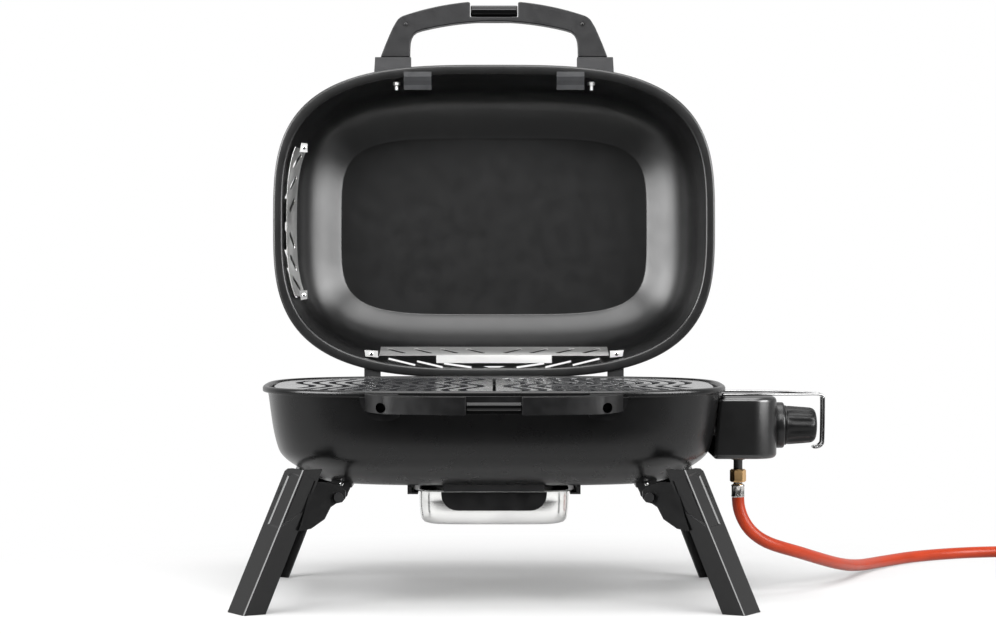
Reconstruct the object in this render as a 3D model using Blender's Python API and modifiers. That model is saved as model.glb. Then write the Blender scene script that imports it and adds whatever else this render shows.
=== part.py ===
"""Portable gas grill: oval bowl on folding legs, lid, gas valve box with a hose, slide-out grease pan.

Metres, X to the grill's right, Y away from the user, Z up. Every part is laid out in the grill's own
coordinates, whose zero is on the floor under the bowl's centre. The empty "grill" then moves everything so
that the world's origin is the centre of the object's footprint. Lid parts are laid out with the lid closed,
and the empty "lid_axis" swings them open.
"""

import math

import bmesh
import bpy
from mathutils import Matrix, Vector

# Driving dimensions
ORIGIN_X, ORIGIN_Y = 0.0450, 0.0440
GAP = 0.0003
OUTLINE_POWER = 3.2
RING_POINTS = 32

RIM_X, RIM_Z = 0.2750, 0.2555
BOWL_LONGER = 0.0825
SHEET = 0.0025
DRAIN_RADIUS = 0.012
# Inner surface of the bowl's wall from the rim down: half width along X, height
BOWL_WALL = (
    (0.2670, 0.2530),
    (0.2655, 0.2440),
    (0.2617, 0.2140),
    (0.2569, 0.1900),
    (0.2528, 0.1767),
    (0.2396, 0.1658),
    (0.2328, 0.1610),
    (0.1995, 0.1445),
)

HINGE_Y, HINGE_Z = 0.2070, 0.2465
HINGE_X = 0.1560
LID_OPEN_DEG = 92.5
LID_PLANE_Z = 0.2585
LID_LONGER = 0.0826
LID_RIM_X, LID_RIM_Y = 0.2838, 0.2001
# Inner surface of the lid from the lip up: half width along X, height over the rim plane, outline power
LID_WALL = (
    (0.2726, 0.0000, 3.2),
    (0.2715, 0.0030, 3.2),
    (0.2670, 0.0300, 3.2),
    (0.2620, 0.0600, 3.3),
    (0.2565, 0.0820, 3.5),
    (0.2470, 0.1020, 3.8),
    (0.2330, 0.1200, 4.2),
    (0.2180, 0.1310, 4.5),
    (0.2050, 0.1350, 4.6),
)

HANDLE_REAR_Y = -0.1990
GRIP_NOTCH_X, GRIP_NOTCH_DEPTH = 0.0310, 0.0210
ROD_Y, ROD_Z, ROD_RADIUS = -0.2710, 0.2424, 0.0048
ROLLER_Y, ROLLER_Z, ROLLER_RADIUS = -0.2714, 0.2700, 0.0073

LEG_PIVOT_X, LEG_PIVOT_Z = 0.1780, 0.1320
LEG_WALL = 0.0030

KNOB_Z = 0.2050
BOX_OUTER_X = 0.3365
BOX_HALF_Y, BOX_LOW, BOX_HIGH = 0.0600, 0.1680, 0.2415
BOX_WALL = 0.0030

INLET_X = 0.2935
HOSE_RADIUS = 0.0075
# The free hose from the ferrule down to the floor and along it to the coil, as a smooth curve's own points
HOSE_ROUTE = (
    (INLET_X, 0.0000, 0.1183), (0.2944, 0.0000, 0.1079), (0.2971, 0.0001, 0.0978),
    (0.3015, 0.0006, 0.0883), (0.3074, 0.0019, 0.0797), (0.3148, 0.0044, 0.0724),
    (0.3240, 0.0084, 0.0659), (0.3353, 0.0144, 0.0602), (0.3500, 0.0245, 0.0546),
    (0.3700, 0.0430, 0.0475), (0.3960, 0.0760, 0.0371), (0.4230, 0.1200, 0.0260),
    (0.4480, 0.1700, 0.0170), (0.4740, 0.2270, 0.0107), (0.5100, 0.2900, 0.0080),
    (0.5620, 0.3500, 0.0077), (0.6320, 0.3940, 0.0077), (0.7080, 0.4120, 0.0077),
    (0.7260, 0.4140, 0.0077),
)
COIL_X, COIL_Y, COIL_RADIUS = 0.7800, 0.3300, 0.0850
# The hose's last stretch, from where it leaves the coil to the regulator
TAIL_ROUTE = (
    (0.8657, 0.2765, 0.0180), (0.8670, 0.2600, 0.0155),
    (0.8674, 0.2450, 0.0141), (0.8674, 0.2353, 0.0140),
)
REGULATOR_X, REGULATOR_Y = 0.8678, 0.1890


# ---------------------------------------------------------------------------------------------- shape helpers
def mesh_object(name, mesh):
    obj = bpy.data.objects.new(name, mesh)
    bpy.context.scene.collection.objects.link(obj)
    return obj


def baked(obj):
    """Replace an object by a mesh object of its evaluated shape, welded and with its faces pointing out."""
    bpy.context.view_layer.update()
    graph = bpy.context.evaluated_depsgraph_get()
    mesh = bpy.data.meshes.new_from_object(obj.evaluated_get(graph))
    mesh.transform(obj.matrix_world)
    work = bmesh.new()
    work.from_mesh(mesh)
    bmesh.ops.remove_doubles(work, verts=work.verts, dist=0.00001)
    bmesh.ops.recalc_face_normals(work, faces=work.faces)
    work.to_mesh(mesh)
    work.free()
    name = obj.name
    bpy.data.objects.remove(obj)
    return mesh_object(name, mesh)


def boolean(target, others, operation):
    """Cut, join or keep the common part of a mesh object with others, which are used up."""
    for other in others:
        step = target.modifiers.new(operation, "BOOLEAN")
        step.operation = operation
        step.object = other
        step.solver = "EXACT"
    result = baked(target)
    for other in others:
        bpy.data.objects.remove(other)
    return result


def cut(target, *cutters):
    return boolean(target, cutters, "DIFFERENCE")


def joined(target, *others):
    return boolean(target, others, "UNION")


def box(name, low, high, turn=None, bevel=0.0):
    """A box between two corners, turned about its own centre by a rotation matrix if one is given."""
    low, high = Vector(low), Vector(high)
    bpy.ops.mesh.primitive_cube_add(size=1)
    obj = bpy.context.object
    obj.name = name
    shape = Matrix.Diagonal((*(high - low), 1))
    obj.data.transform(Matrix.Translation((low + high) / 2) @ (turn or Matrix()) @ shape)
    if bevel:
        step = obj.modifiers.new("Bevel", "BEVEL")
        step.width = bevel
        step.segments = 2
        return baked(obj)
    return obj


def turned(name, start, along, profile, steps=20):
    """A turned solid: profile points are (distance along the axis, radius), and the axis starts at a point."""
    mesh = bpy.data.meshes.new(name)
    points = [(radius, 0, distance) for distance, radius in profile]
    mesh.from_pydata(points, [(i, i + 1) for i in range(len(points) - 1)], [])
    obj = mesh_object(name, mesh)
    step = obj.modifiers.new("Screw", "SCREW")
    step.steps = step.render_steps = steps
    step.use_merge_vertices = True
    step.merge_threshold = 0.00005
    aim = Vector(along).to_track_quat("Z", "Y").to_matrix().to_4x4()
    obj.matrix_world = Matrix.Translation(start) @ aim
    return baked(obj)


def cylinder(name, start, end, radius, steps=20):
    start, end = Vector(start), Vector(end)
    length = (end - start).length
    return turned(name, start, end - start, ((0, 0), (0, radius), (length, radius), (length, 0)), steps)


def plate(name, plane, outline, low, high, holes=()):
    """A flat outline in the XY, XZ or YZ plane, given thickness from low to high along the third axis."""
    curve = bpy.data.curves.new(name, "CURVE")
    curve.dimensions = "2D"
    curve.fill_mode = "BOTH"
    curve.extrude = (high - low) / 2
    for loop in (outline, *holes):
        spline = curve.splines.new("POLY")
        spline.points.add(len(loop) - 1)
        for point, (u, v) in zip(spline.points, loop):
            point.co = (u, v, 0, 1)
        spline.use_cyclic_u = True
    obj = mesh_object(name, curve)
    middle = (low + high) / 2
    if plane == "XY":
        obj.location = (0, 0, middle)
    elif plane == "XZ":
        obj.rotation_euler = (math.pi / 2, 0, 0)
        obj.location = (0, middle, 0)
    else:
        obj.rotation_euler = (math.pi / 2, 0, math.pi / 2)
        obj.location = (middle, 0, 0)
    return baked(obj)


def tube(name, points, radius, closed=False, resolution=2):
    curve = bpy.data.curves.new(name, "CURVE")
    curve.dimensions = "3D"
    curve.bevel_depth = radius
    curve.bevel_resolution = resolution
    curve.use_fill_caps = not closed
    spline = curve.splines.new("POLY")
    spline.points.add(len(points) - 1)
    for point, place in zip(spline.points, points):
        point.co = (*place, 1)
    spline.use_cyclic_u = closed
    return baked(mesh_object(name, curve))


def loft(name, rings, thickness=0.0, flip=False, cap_first=False, cap_last=False):
    """Join rings of equal count with quads; a thickness turns the open surface into a shell."""
    count = len(rings[0])
    work = bmesh.new()
    rows = [[work.verts.new(place) for place in ring] for ring in rings]
    for upper, lower in zip(rows, rows[1:]):
        for i in range(count):
            face = [upper[i], upper[(i + 1) % count], lower[(i + 1) % count], lower[i]]
            work.faces.new(reversed(face) if flip else face)
    for row, wanted, turn in ((rows[0], cap_first, True), (rows[-1], cap_last, False)):
        if wanted:
            work.faces.new(row if turn == flip else row[::-1])
    mesh = bpy.data.meshes.new(name)
    work.to_mesh(mesh)
    work.free()
    obj = mesh_object(name, mesh)
    if thickness:
        step = obj.modifiers.new("Solidify", "SOLIDIFY")
        step.thickness = thickness
        step.offset = -1
        step.use_even_offset = True
    return baked(obj)


def sheet(name, points, faces, thickness):
    """An open sheet of a few flat panels, thickened on both sides of its middle."""
    mesh = bpy.data.meshes.new(name)
    mesh.from_pydata(points, [], faces)
    obj = mesh_object(name, mesh)
    step = obj.modifiers.new("Solidify", "SOLIDIFY")
    step.thickness = thickness
    step.offset = 0
    step.use_even_offset = True
    return baked(obj)


def oval(half_x, half_y, z, power=OUTLINE_POWER, count=RING_POINTS):
    """One ring of a rounded oval (a superellipse) at a height."""
    ring = []
    for i in range(count):
        c, s = math.cos(2 * math.pi * i / count), math.sin(2 * math.pi * i / count)
        x = half_x * math.copysign(abs(c) ** (2 / power), c)
        y = half_y * math.copysign(abs(s) ** (2 / power), s)
        ring.append((x, y, z))
    return ring


def oval_y(half_x, half_y, x, power=OUTLINE_POWER):
    """How far from the middle line the oval is at one x."""
    return half_y * (1 - min(abs(x / half_x), 1) ** power) ** (1 / power)


def mirrored(points):
    """Points of the right half, top to bottom, followed by the left half's in the other order."""
    return list(points) + [(-u, v) for u, v in reversed(points)]


def smooth(points, spacing):
    """Points every spacing along a Catmull-Rom curve through the given points, ends included."""
    places = [Vector(p) for p in points]
    places = [places[0] * 2 - places[1], *places, places[-1] * 2 - places[-2]]
    fine = []
    for a, b, c, d in zip(places, places[1:], places[2:], places[3:]):
        for k in range(20):
            t = k / 20
            square = (2 * a - 5 * b + 4 * c - d) * t**2
            cube = (3 * b - a - 3 * c + d) * t**3
            fine.append(0.5 * (2 * b + (c - a) * t + square + cube))
    fine.append(places[-2])
    total = sum((q - p).length for p, q in zip(fine, fine[1:]))
    pieces = max(2, round(total / spacing))
    result, walked, wanted = [fine[0]], 0.0, total / pieces
    for p, q in zip(fine, fine[1:]):
        step = (q - p).length
        while walked + step >= wanted * len(result) and len(result) < pieces:
            result.append(p.lerp(q, (wanted * len(result) - walked) / step))
        walked += step
    return result + [fine[-1]]


# -------------------------------------------------------------------------------------------------- materials
def material(name, color, roughness, metallic=0.0):
    mat = bpy.data.materials.new(name)
    mat.use_nodes = True
    shader = mat.node_tree.nodes["Principled BSDF"]
    shader.inputs["Base Color"].default_value = (*color, 1)
    shader.inputs["Roughness"].default_value = roughness
    shader.inputs["Metallic"].default_value = metallic
    mat.diffuse_color = (*color, 1)
    return mat


def make_materials():
    return {
        "black_coat": material("black_coat", (0.018, 0.019, 0.020), 0.38),
        "black_plastic": material("black_plastic", (0.020, 0.020, 0.021), 0.45),
        "grey_plastic": material("grey_plastic", (0.070, 0.070, 0.072), 0.55),
        "leg_plastic": material("leg_plastic", (0.015, 0.015, 0.016), 0.35),
        "cast_enamel": material("cast_enamel", (0.045, 0.047, 0.050), 0.30),
        "stainless": material("stainless", (0.72, 0.72, 0.71), 0.28, 1.0),
        "polished_steel": material("polished_steel", (0.80, 0.80, 0.80), 0.12, 1.0),
        "black_steel": material("black_steel", (0.03, 0.03, 0.032), 0.40, 0.6),
        "brass": material("brass", (0.62, 0.42, 0.16), 0.32, 1.0),
        "hose_rubber": material("hose_rubber", (0.72, 0.075, 0.020), 0.40),
        "ceramic": material("ceramic", (0.80, 0.78, 0.72), 0.50),
    }


# --------------------------------------------------------------------------------------------- bowl and inside
def bowl_rings(grow=0.0):
    """Rings down the bowl's inner wall, or with grow down its outer wall, that much further out."""
    rings = []
    for i, (x, z) in enumerate(BOWL_WALL):
        above = BOWL_WALL[max(i - 1, 0)]
        below = BOWL_WALL[min(i + 1, len(BOWL_WALL) - 1)]
        out = Vector((above[1] - below[1], below[0] - above[0])).normalized() * grow
        rings.append(oval(x + out.x, x - BOWL_LONGER + out.x, z + out.y))
    return rings


def bowl_void():
    """The bowl's outer form as a solid, a gap larger, which cuts whatever is fastened to the bowl."""
    rings = bowl_rings(SHEET + GAP)
    top = oval(RIM_X - 0.0045, RIM_X - BOWL_LONGER - 0.0045, RIM_Z + 0.01)
    floor = oval(0.02, 0.02, 0.1430 - SHEET - GAP, 2)
    return loft("bowl_void", [top, *rings, floor], cap_first=True, cap_last=True)


def make_bowl():
    lip_y = RIM_X - BOWL_LONGER
    lip = [
        oval(RIM_X, lip_y, RIM_Z - 0.0065),
        oval(RIM_X, lip_y, RIM_Z - 0.0015),
        oval(RIM_X - 0.0015, lip_y - 0.0015, RIM_Z),
        oval(RIM_X - 0.0055, lip_y - 0.0055, RIM_Z),
    ]
    drain = oval(DRAIN_RADIUS, DRAIN_RADIUS, 0.1430, 2)
    bowl = loft("bowl", [*lip, *bowl_rings(), drain], SHEET)
    burner_hole = cylinder("burner_hole", (0.2450, 0, KNOB_Z), (0.2800, 0, KNOB_Z), 0.0140)
    spark_hole = cylinder("spark_hole", (0.2450, 0.0300, 0.2150), (0.2800, 0.0300, 0.2150), 0.0040, 12)
    return cut(bowl, burner_hole, spark_hole)


def make_grid_support_ring():
    rings = [
        oval(0.2640, 0.1815, 0.2425),
        oval(0.2640, 0.1815, 0.2455),
        oval(0.2560, 0.1735, 0.2455),
        oval(0.2560, 0.1735, 0.2425),
    ]
    return loft("grid_support_ring", [*rings, rings[0]])


def make_burner():
    """Burner tube along X with its venturi in the valve box, its support, the heat plate, jet and electrode."""
    bore, wall, bell = 0.0095, 0.0110, 0.0132
    profile = [(0.438, 0), (0.438, bore), (0, bore), (0, bell), (0.010, bell), (0.022, wall)]
    profile += [(0.440, wall), (0.440, 0)]
    tube_part = turned("burner_tube", (0.2780, 0, KNOB_Z), (-1, 0, 0), profile, 20)
    foot = box("burner_support", (-0.1560, -0.0160, 0.1480), (-0.1535, 0.0160, 0.2000))
    cradle = cylinder("cradle", (-0.1600, 0, KNOB_Z), (-0.1500, 0, KNOB_Z), wall + GAP)
    support = cut(foot, cradle)
    ridge = [(-0.0500, 0.2220), (0, 0.2350), (0.0500, 0.2220), (0.0500, 0.2205), (0, 0.2335), (-0.0500, 0.2205)]
    heat = plate("heat_plate", "YZ", ridge, -0.1950, 0.1950)
    legs = [
        box("heat_leg", (side * 0.1950 - 0.0010, -0.0500, 0.1520), (side * 0.1950 + 0.0010, 0.0500, 0.2225))
        for side in (-1, 1)
    ]
    window = cylinder("window", (-0.2100, 0, KNOB_Z), (0.2100, 0, KNOB_Z), wall + 0.0020)
    heat = cut(joined(heat, *legs), window)
    jet_profile = [(0, 0.0012), (0, 0.0030), (0.004, 0.0045), (0.0055, 0.0045), (0.0055, 0.0012)]
    jet_profile.append(jet_profile[0])
    jet = turned("gas_jet", (0.2782, 0, KNOB_Z), (1, 0, 0), jet_profile, 12)
    spark = ((0, 0), (0, 0.0008), (0.020, 0.0008), (0.020, 0.0030), (0.052, 0.0030), (0.052, 0))
    electrode = turned("ignition_electrode", (0.2230, 0.0300, 0.2150), (1, 0, 0), spark, 12)
    return tube_part, support, heat, jet, electrode


def make_grid(name, side):
    """Half of the cooking surface: wavy bars from front to back inside a border, cast in one piece."""
    half_x, half_y, border = 0.2615, 0.1790, 0.0075
    seam, pitch, slot, swing, period = 0.0015, 0.0200, 0.0090, 0.0085, 0.1200
    outline = [(x, y) for x, y, _ in oval(half_x, half_y, 0, count=RING_POINTS) if x > 0.01]
    top = oval_y(half_x, half_y, seam)
    outline = sorted(outline, key=lambda p: math.atan2(p[1], p[0]))
    outline = [(seam, -top), *outline, (seam, top)]
    slots = []
    for k in range(12):
        middle = seam + border + slot / 2 + swing + 0.0015 + k * pitch
        widest = middle + swing + slot / 2
        if widest > half_x - border - 0.004:
            break
        reach = oval_y(half_x - border, half_y - border, widest) - 0.002
        steps = max(4, round(2 * reach / (period / 6)))
        centre = [-reach + 2 * reach * i / steps for i in range(steps + 1)]
        wave = [(middle + swing * math.sin(2 * math.pi * y / period), y) for y in centre]
        far_side = [(x + slot / 2, y) for x, y in reversed(wave)]
        slots.append([(x - slot / 2, y) for x, y in wave] + far_side)
    outline = [(side * x, y) for x, y in outline]
    slots = [[(side * x, y) for x, y in loop] for loop in slots]
    return plate(name, "XY", outline, 0.2460, 0.2540, slots)


# ----------------------------------------------------------------------------------------------------- handles
def arc_through(edge_u, edge_v, crown_v, steps):
    """Points from the crown of an arc at u = 0 to its edge point."""
    rise = crown_v - edge_v
    radius = (edge_u**2 + rise**2) / (2 * rise)
    return [
        (u, crown_v - radius + math.sqrt(radius**2 - u**2))
        for u in (edge_u * i / steps for i in range(steps + 1))
    ]


def handle_outline(foot_v=0.0125):
    """The arch seen from above: v runs away from the rim, u along it."""
    notch_v = 0.0852 - GRIP_NOTCH_DEPTH
    outer = [p for p in arc_through(0.1174, 0.0656, 0.0852, 8) if p[0] > GRIP_NOTCH_X]
    outer = [(GRIP_NOTCH_X, notch_v), (GRIP_NOTCH_X, 0.0838), *outer]
    outer += [(0.1250, 0.0600), (0.1300, 0.0529), (0.1460, foot_v)]
    inner = [(0.1082, foot_v), (0.1078, 0.0300), (0.1060, 0.0380), (0.1010, 0.0440)]
    inner += list(reversed(arc_through(0.0933, 0.0471, 0.0587, 5)))
    half = outer + inner
    left = [(-u, v) for u, v in reversed(half) if u > 0]
    return [(u, HANDLE_REAR_Y - v) for u, v in half + left]


def make_arch(name, low, high, foot_v=0.0125):
    outline = handle_outline(foot_v)
    return plate(name, "XY", outline, low, high)


def make_front_handle():
    arch = make_arch("front_handle", 0.2335, 0.2532, 0.0040)
    holes = [
        cylinder("hole", (side * 0.1260, -0.3000, 0.2400), (side * 0.1260, -0.2250, 0.2400), 0.0058, 16)
        for side in (-1, 1)
    ]
    arch = cut(arch, *holes)
    reach = GRIP_NOTCH_X - GAP
    rod = cylinder("grip_rod", (-reach, ROD_Y, ROD_Z), (reach, ROD_Y, ROD_Z), ROD_RADIUS, 16)
    brackets = []
    for side, name in ((-1, "handle_bracket_left"), (1, "handle_bracket_right")):
        outline = [(0.1520, 0.2486), (0.1500, 0.2400), (0.1455, 0.2310), (0.1380, 0.2240), (0.1280, 0.2220)]
        outline += [(0.1160, 0.2225), (0.1080, 0.2260), (0.1060, 0.2330), (0.1060, 0.2486)]
        shape = plate(name, "XZ", [(side * x, z) for x, z in outline], -0.2022, -0.1600)
        brackets.append(cut(shape, bowl_void()))
    return arch, rod, *brackets


def lid_void():
    """The lid's outer form as a solid, a gap larger, which cuts whatever is fastened to the lid."""
    grow = SHEET + GAP
    rings = [oval(x + grow, x - LID_LONGER + grow, LID_PLANE_Z + z, power) for x, z, power in LID_WALL]
    first_x = LID_WALL[0][0] + grow
    low = oval(first_x, first_x - LID_LONGER, LID_PLANE_Z - 0.02)
    top = oval(0.18, 0.10, LID_PLANE_Z + LID_WALL[-1][1] + grow, LID_WALL[-1][2])
    return loft("lid_void", [low, *rings, top], flip=True, cap_first=True, cap_last=True)


def vent_cutters():
    """Slanted slots through the lid's rear wall and left wall, in chevrons about each wall's middle."""
    cutters = []
    high, low = LID_PLANE_Z + 0.0405, LID_PLANE_Z + 0.0110
    slope = math.atan2(high - low, 0.0330)
    length = math.hypot(high - low, 0.0330)
    width = 0.0072
    for side in (-1, 1):
        for middle in (0.0470, 0.0820, 0.1180):
            turn = Matrix.Rotation(-side * slope, 4, "Y")
            place = (side * middle, 0.1800, (high + low) / 2)
            cutters.append(slot_box(place, (length, 0.05, width), turn))
        for middle in (0.0380, 0.0730):
            turn = Matrix.Rotation(side * slope, 4, "X")
            place = (-0.2650, side * middle, (high + low) / 2)
            cutters.append(slot_box(place, (0.05, length, width), turn))
    cutters.append(slot_box((0, 0.1900, LID_PLANE_Z + 0.0110), (0.0270, 0.04, 0.0060), Matrix()))
    cutters.append(slot_box((-0.2700, 0, LID_PLANE_Z + 0.0130), (0.04, 0.0160, 0.0060), Matrix()))
    return cutters


def slot_box(centre, size, turn):
    half = Vector(size) / 2
    return box("slot", Vector(centre) - half, Vector(centre) + half, turn)


def make_lid_shell():
    lip = [oval(LID_RIM_X, LID_RIM_Y, LID_PLANE_Z)]
    wall = [oval(x, x - LID_LONGER, LID_PLANE_Z + z, power) for x, z, power in LID_WALL]
    shell = loft("lid_shell", lip + wall, SHEET, flip=True, cap_last=True)
    return cut(shell, *vent_cutters())


def make_lid_handle():
    arch = make_arch("lid_handle", 0.2622, 0.2802)
    feet = []
    for side, name in ((-1, "lid_handle_foot_left"), (1, "lid_handle_foot_right")):
        rear, front = HANDLE_REAR_Y + 0.0300, HANDLE_REAR_Y - 0.0122
        outline = [(0.1070, rear), (0.1555, rear), (0.1530, front), (0.1070, front)]
        shape = plate(name, "XY", [(side * x, y) for x, y in outline], 0.2618, 0.2808)
        feet.append(cut(shape, lid_void()))
    return arch, *feet


def make_rest_pad(name, side):
    section = [
        (-0.1918, 0.2560), (-0.1918, 0.2581), (-0.1860, 0.2581), (-0.1812, 0.2605), (-0.1757, 0.2640),
        (-0.1692, 0.2650), (-0.1692, 0.2630), (-0.1752, 0.2618), (-0.1807, 0.2582), (-0.1855, 0.2560),
    ]
    ends = sorted((side * 0.0805, side * 0.1160))
    return plate(name, "YZ", section, *ends)


def make_fixing_nut(name, side):
    profile = ((0, 0), (0, 0.0046), (0.0040, 0.0046), (0.0040, 0.0024), (0.0105, 0.0024), (0.0105, 0))
    return turned(name, (side * 0.1255, -0.1800, LID_PLANE_Z + 0.0140), (0, 1, 0), profile, 6)


def make_latch():
    """Roller in the lid handle's notch with an arm and a curved hook that reaches under the steel rod."""
    reach = GRIP_NOTCH_X - 0.0008
    ends = [(-reach, ROLLER_Y, ROLLER_Z), (reach, ROLLER_Y, ROLLER_Z)]
    roller = cylinder("latch", *ends, ROLLER_RADIUS, 20)
    arm_deg, tip_deg = 76.5, 99.5
    inner, outer = 0.0345, 0.0370
    arm_turn = math.radians(arm_deg)
    hook = []
    for radius, order in ((outer, range(5)), (inner, reversed(range(5)))):
        for i in order:
            angle = arm_turn + math.radians(tip_deg - arm_deg) * i / 4
            hook.append((ROLLER_Y + radius * math.cos(angle), ROLLER_Z + radius * math.sin(angle)))
    along = Vector((math.cos(arm_turn), math.sin(arm_turn)))
    across = Vector((along.y, -along.x)) * 0.0024
    start = Vector((ROLLER_Y, ROLLER_Z)) + along * 0.004
    end = Vector((ROLLER_Y, ROLLER_Z)) + along * outer
    arm = [tuple(start), tuple(end), tuple(end + across), tuple(start + across)]
    hook_part = plate("hook", "YZ", hook, -0.0240, 0.0240)
    arm_part = plate("arm", "YZ", arm, -0.0234, 0.0234)
    return joined(roller, arm_part, hook_part)


# ----------------------------------------------------------------------------------------------------- baffles
def make_rear_baffle():
    """Folded stainless sheet over the rear vents, with its slots in a chevron and a stiffening tab."""
    front, back = Vector((0.1724, LID_PLANE_Z + 0.0110)), Vector((0.1614, LID_PLANE_Z + 0.0601))
    tab_y = 0.1822
    half, tab_half = 0.1475, 0.0742
    sheet_part = sheet(
        "rear_baffle",
        [(-half, *front), (half, *front), (half, *back), (-half, *back)],
        [(0, 1, 2, 3)],
        0.0010,
    )
    low, high = front.y - 0.0005, front.y + 0.0005
    tab = box("tab", (-tab_half, front.x - 0.0005, low), (tab_half, tab_y, high))
    sheet_part = joined(sheet_part, tab)
    middle = (front + back) / 2
    lean = Matrix.Rotation(math.atan2(front.x - back.x, back.y - front.y), 4, "X")
    slots = []
    for side in (-1, 1):
        for x in (0.0240, 0.0580, 0.0920, 0.1260):
            turn = lean @ Matrix.Rotation(side * math.radians(48), 4, "Y")
            slots.append(slot_box((side * x, middle.x, middle.y), (0.0350, 0.02, 0.0045), turn))
    sheet_part = cut(sheet_part, *slots)
    clips = []
    for side, name in ((-1, "rear_baffle_clip_left"), (1, "rear_baffle_clip_right")):
        xs = sorted((side * (half + 0.0005), side * 0.1670))
        low, high = LID_PLANE_Z + 0.006, LID_PLANE_Z + 0.018
        clips.append(box(name, (xs[0], 0.1622, low), (xs[1], 0.1684, high), bevel=0.001))
    return sheet_part, *clips


def make_left_baffle():
    """Curved stainless sheet along the lid's left wall."""
    reach, columns = 0.1010, 8
    rows = ((0.2665, LID_PLANE_Z + 0.0110), (0.2578, LID_PLANE_Z + 0.0600))
    points, faces = [], []
    for half_x, z in rows:
        half_y = half_x - LID_LONGER
        for i in range(columns + 1):
            y = -reach + 2 * reach * i / columns
            points.append((-half_x * (1 - abs(y / half_y) ** OUTLINE_POWER) ** (1 / OUTLINE_POWER), y, z))
    for i in range(columns):
        faces.append((i, i + 1, columns + 2 + i, columns + 1 + i))
    part = sheet("left_baffle", points, faces, 0.0010)
    slots = []
    for side in (-1, 1):
        for y in (0.0250, 0.0560, 0.0860):
            turn = Matrix.Rotation(side * math.radians(55), 4, "X")
            place = (-0.2580, side * y, LID_PLANE_Z + 0.0355)
            slots.append(slot_box(place, (0.04, 0.0320, 0.0042), turn))
    part = cut(part, *slots)
    clips = []
    for side, name in ((-1, "left_baffle_clip_front"), (1, "left_baffle_clip_rear")):
        ys = sorted((side * (reach + 0.0005), side * 0.1100))
        low, high = LID_PLANE_Z + 0.006, LID_PLANE_Z + 0.018
        clips.append(box(name, (-0.2520, ys[0], low), (-0.2440, ys[1], high), bevel=0.001))
    return part, *clips


# ------------------------------------------------------------------------------------------------------ hinges
def ring_points(centre, radius, start_deg, end_deg, steps):
    return [
        (
            centre[0] + radius * math.cos(math.radians(start_deg + (end_deg - start_deg) * i / steps)),
            centre[1] + radius * math.sin(math.radians(start_deg + (end_deg - start_deg) * i / steps)),
        )
        for i in range(steps + 1)
    ]


def make_hinge(side, word):
    """One lid hinge: bracket with two ears and a stop on the bowl, leaf on the lid, and the pin through both."""
    axis = (HINGE_Y, HINGE_Z)
    middle = side * HINGE_X
    half, ear, leaf_half = 0.0145, 0.0030, 0.0105
    outline = [(0.1650, 0.2484), (0.1650, 0.2200), (0.1850, 0.2200), (0.2245, 0.2320), (0.2245, 0.2388)]
    outline += [(0.2135, 0.2395), *ring_points(axis, 0.0060, 0, 120, 5), (0.1960, 0.2484)]
    ears = [plate("ear", "YZ", outline, middle + low, middle + low + ear) for low in (-half, half - ear)]
    web = half - 0.0010
    base = box("base", (middle - web, 0.1655, 0.2206), (middle + web, 0.1840, 0.2478))
    stop = box("stop", (middle - web, 0.2160, 0.2322), (middle + web, 0.2240, 0.2386))
    bracket = joined(base, *ears, stop)
    hole = cylinder("hole", (middle - 0.02, *axis), (middle + 0.02, *axis), 0.0028, 12)
    bracket = cut(bracket, bowl_void(), hole)
    bracket.name = "hinge_bracket_" + word
    leaf_line = [(0.1828, 0.2622), (0.2035, 0.2622), (0.2015, 0.2540), *ring_points(axis, 0.0055, 180, 360, 8)]
    leaf_line += [(0.2125, 0.2645), (0.1828, 0.2645)]
    pin_hole = ring_points(axis, 0.0028, 0, 330, 11)
    leaf = plate("lid_hinge_leaf_" + word, "YZ", leaf_line, middle - leaf_half, middle + leaf_half, [pin_hole])
    tip = half + 0.0020
    profile = ((0, 0), (0, 0.0036), (0.0016, 0.0036), (0.0016, 0.0025))
    profile += ((2 * tip - 0.0016, 0.0025), (2 * tip - 0.0016, 0.0036), (2 * tip, 0.0036), (2 * tip, 0))
    pin = turned("hinge_pin_" + word, (middle - tip, *axis), (1, 0, 0), profile, 12)
    return bracket, leaf, pin


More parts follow.
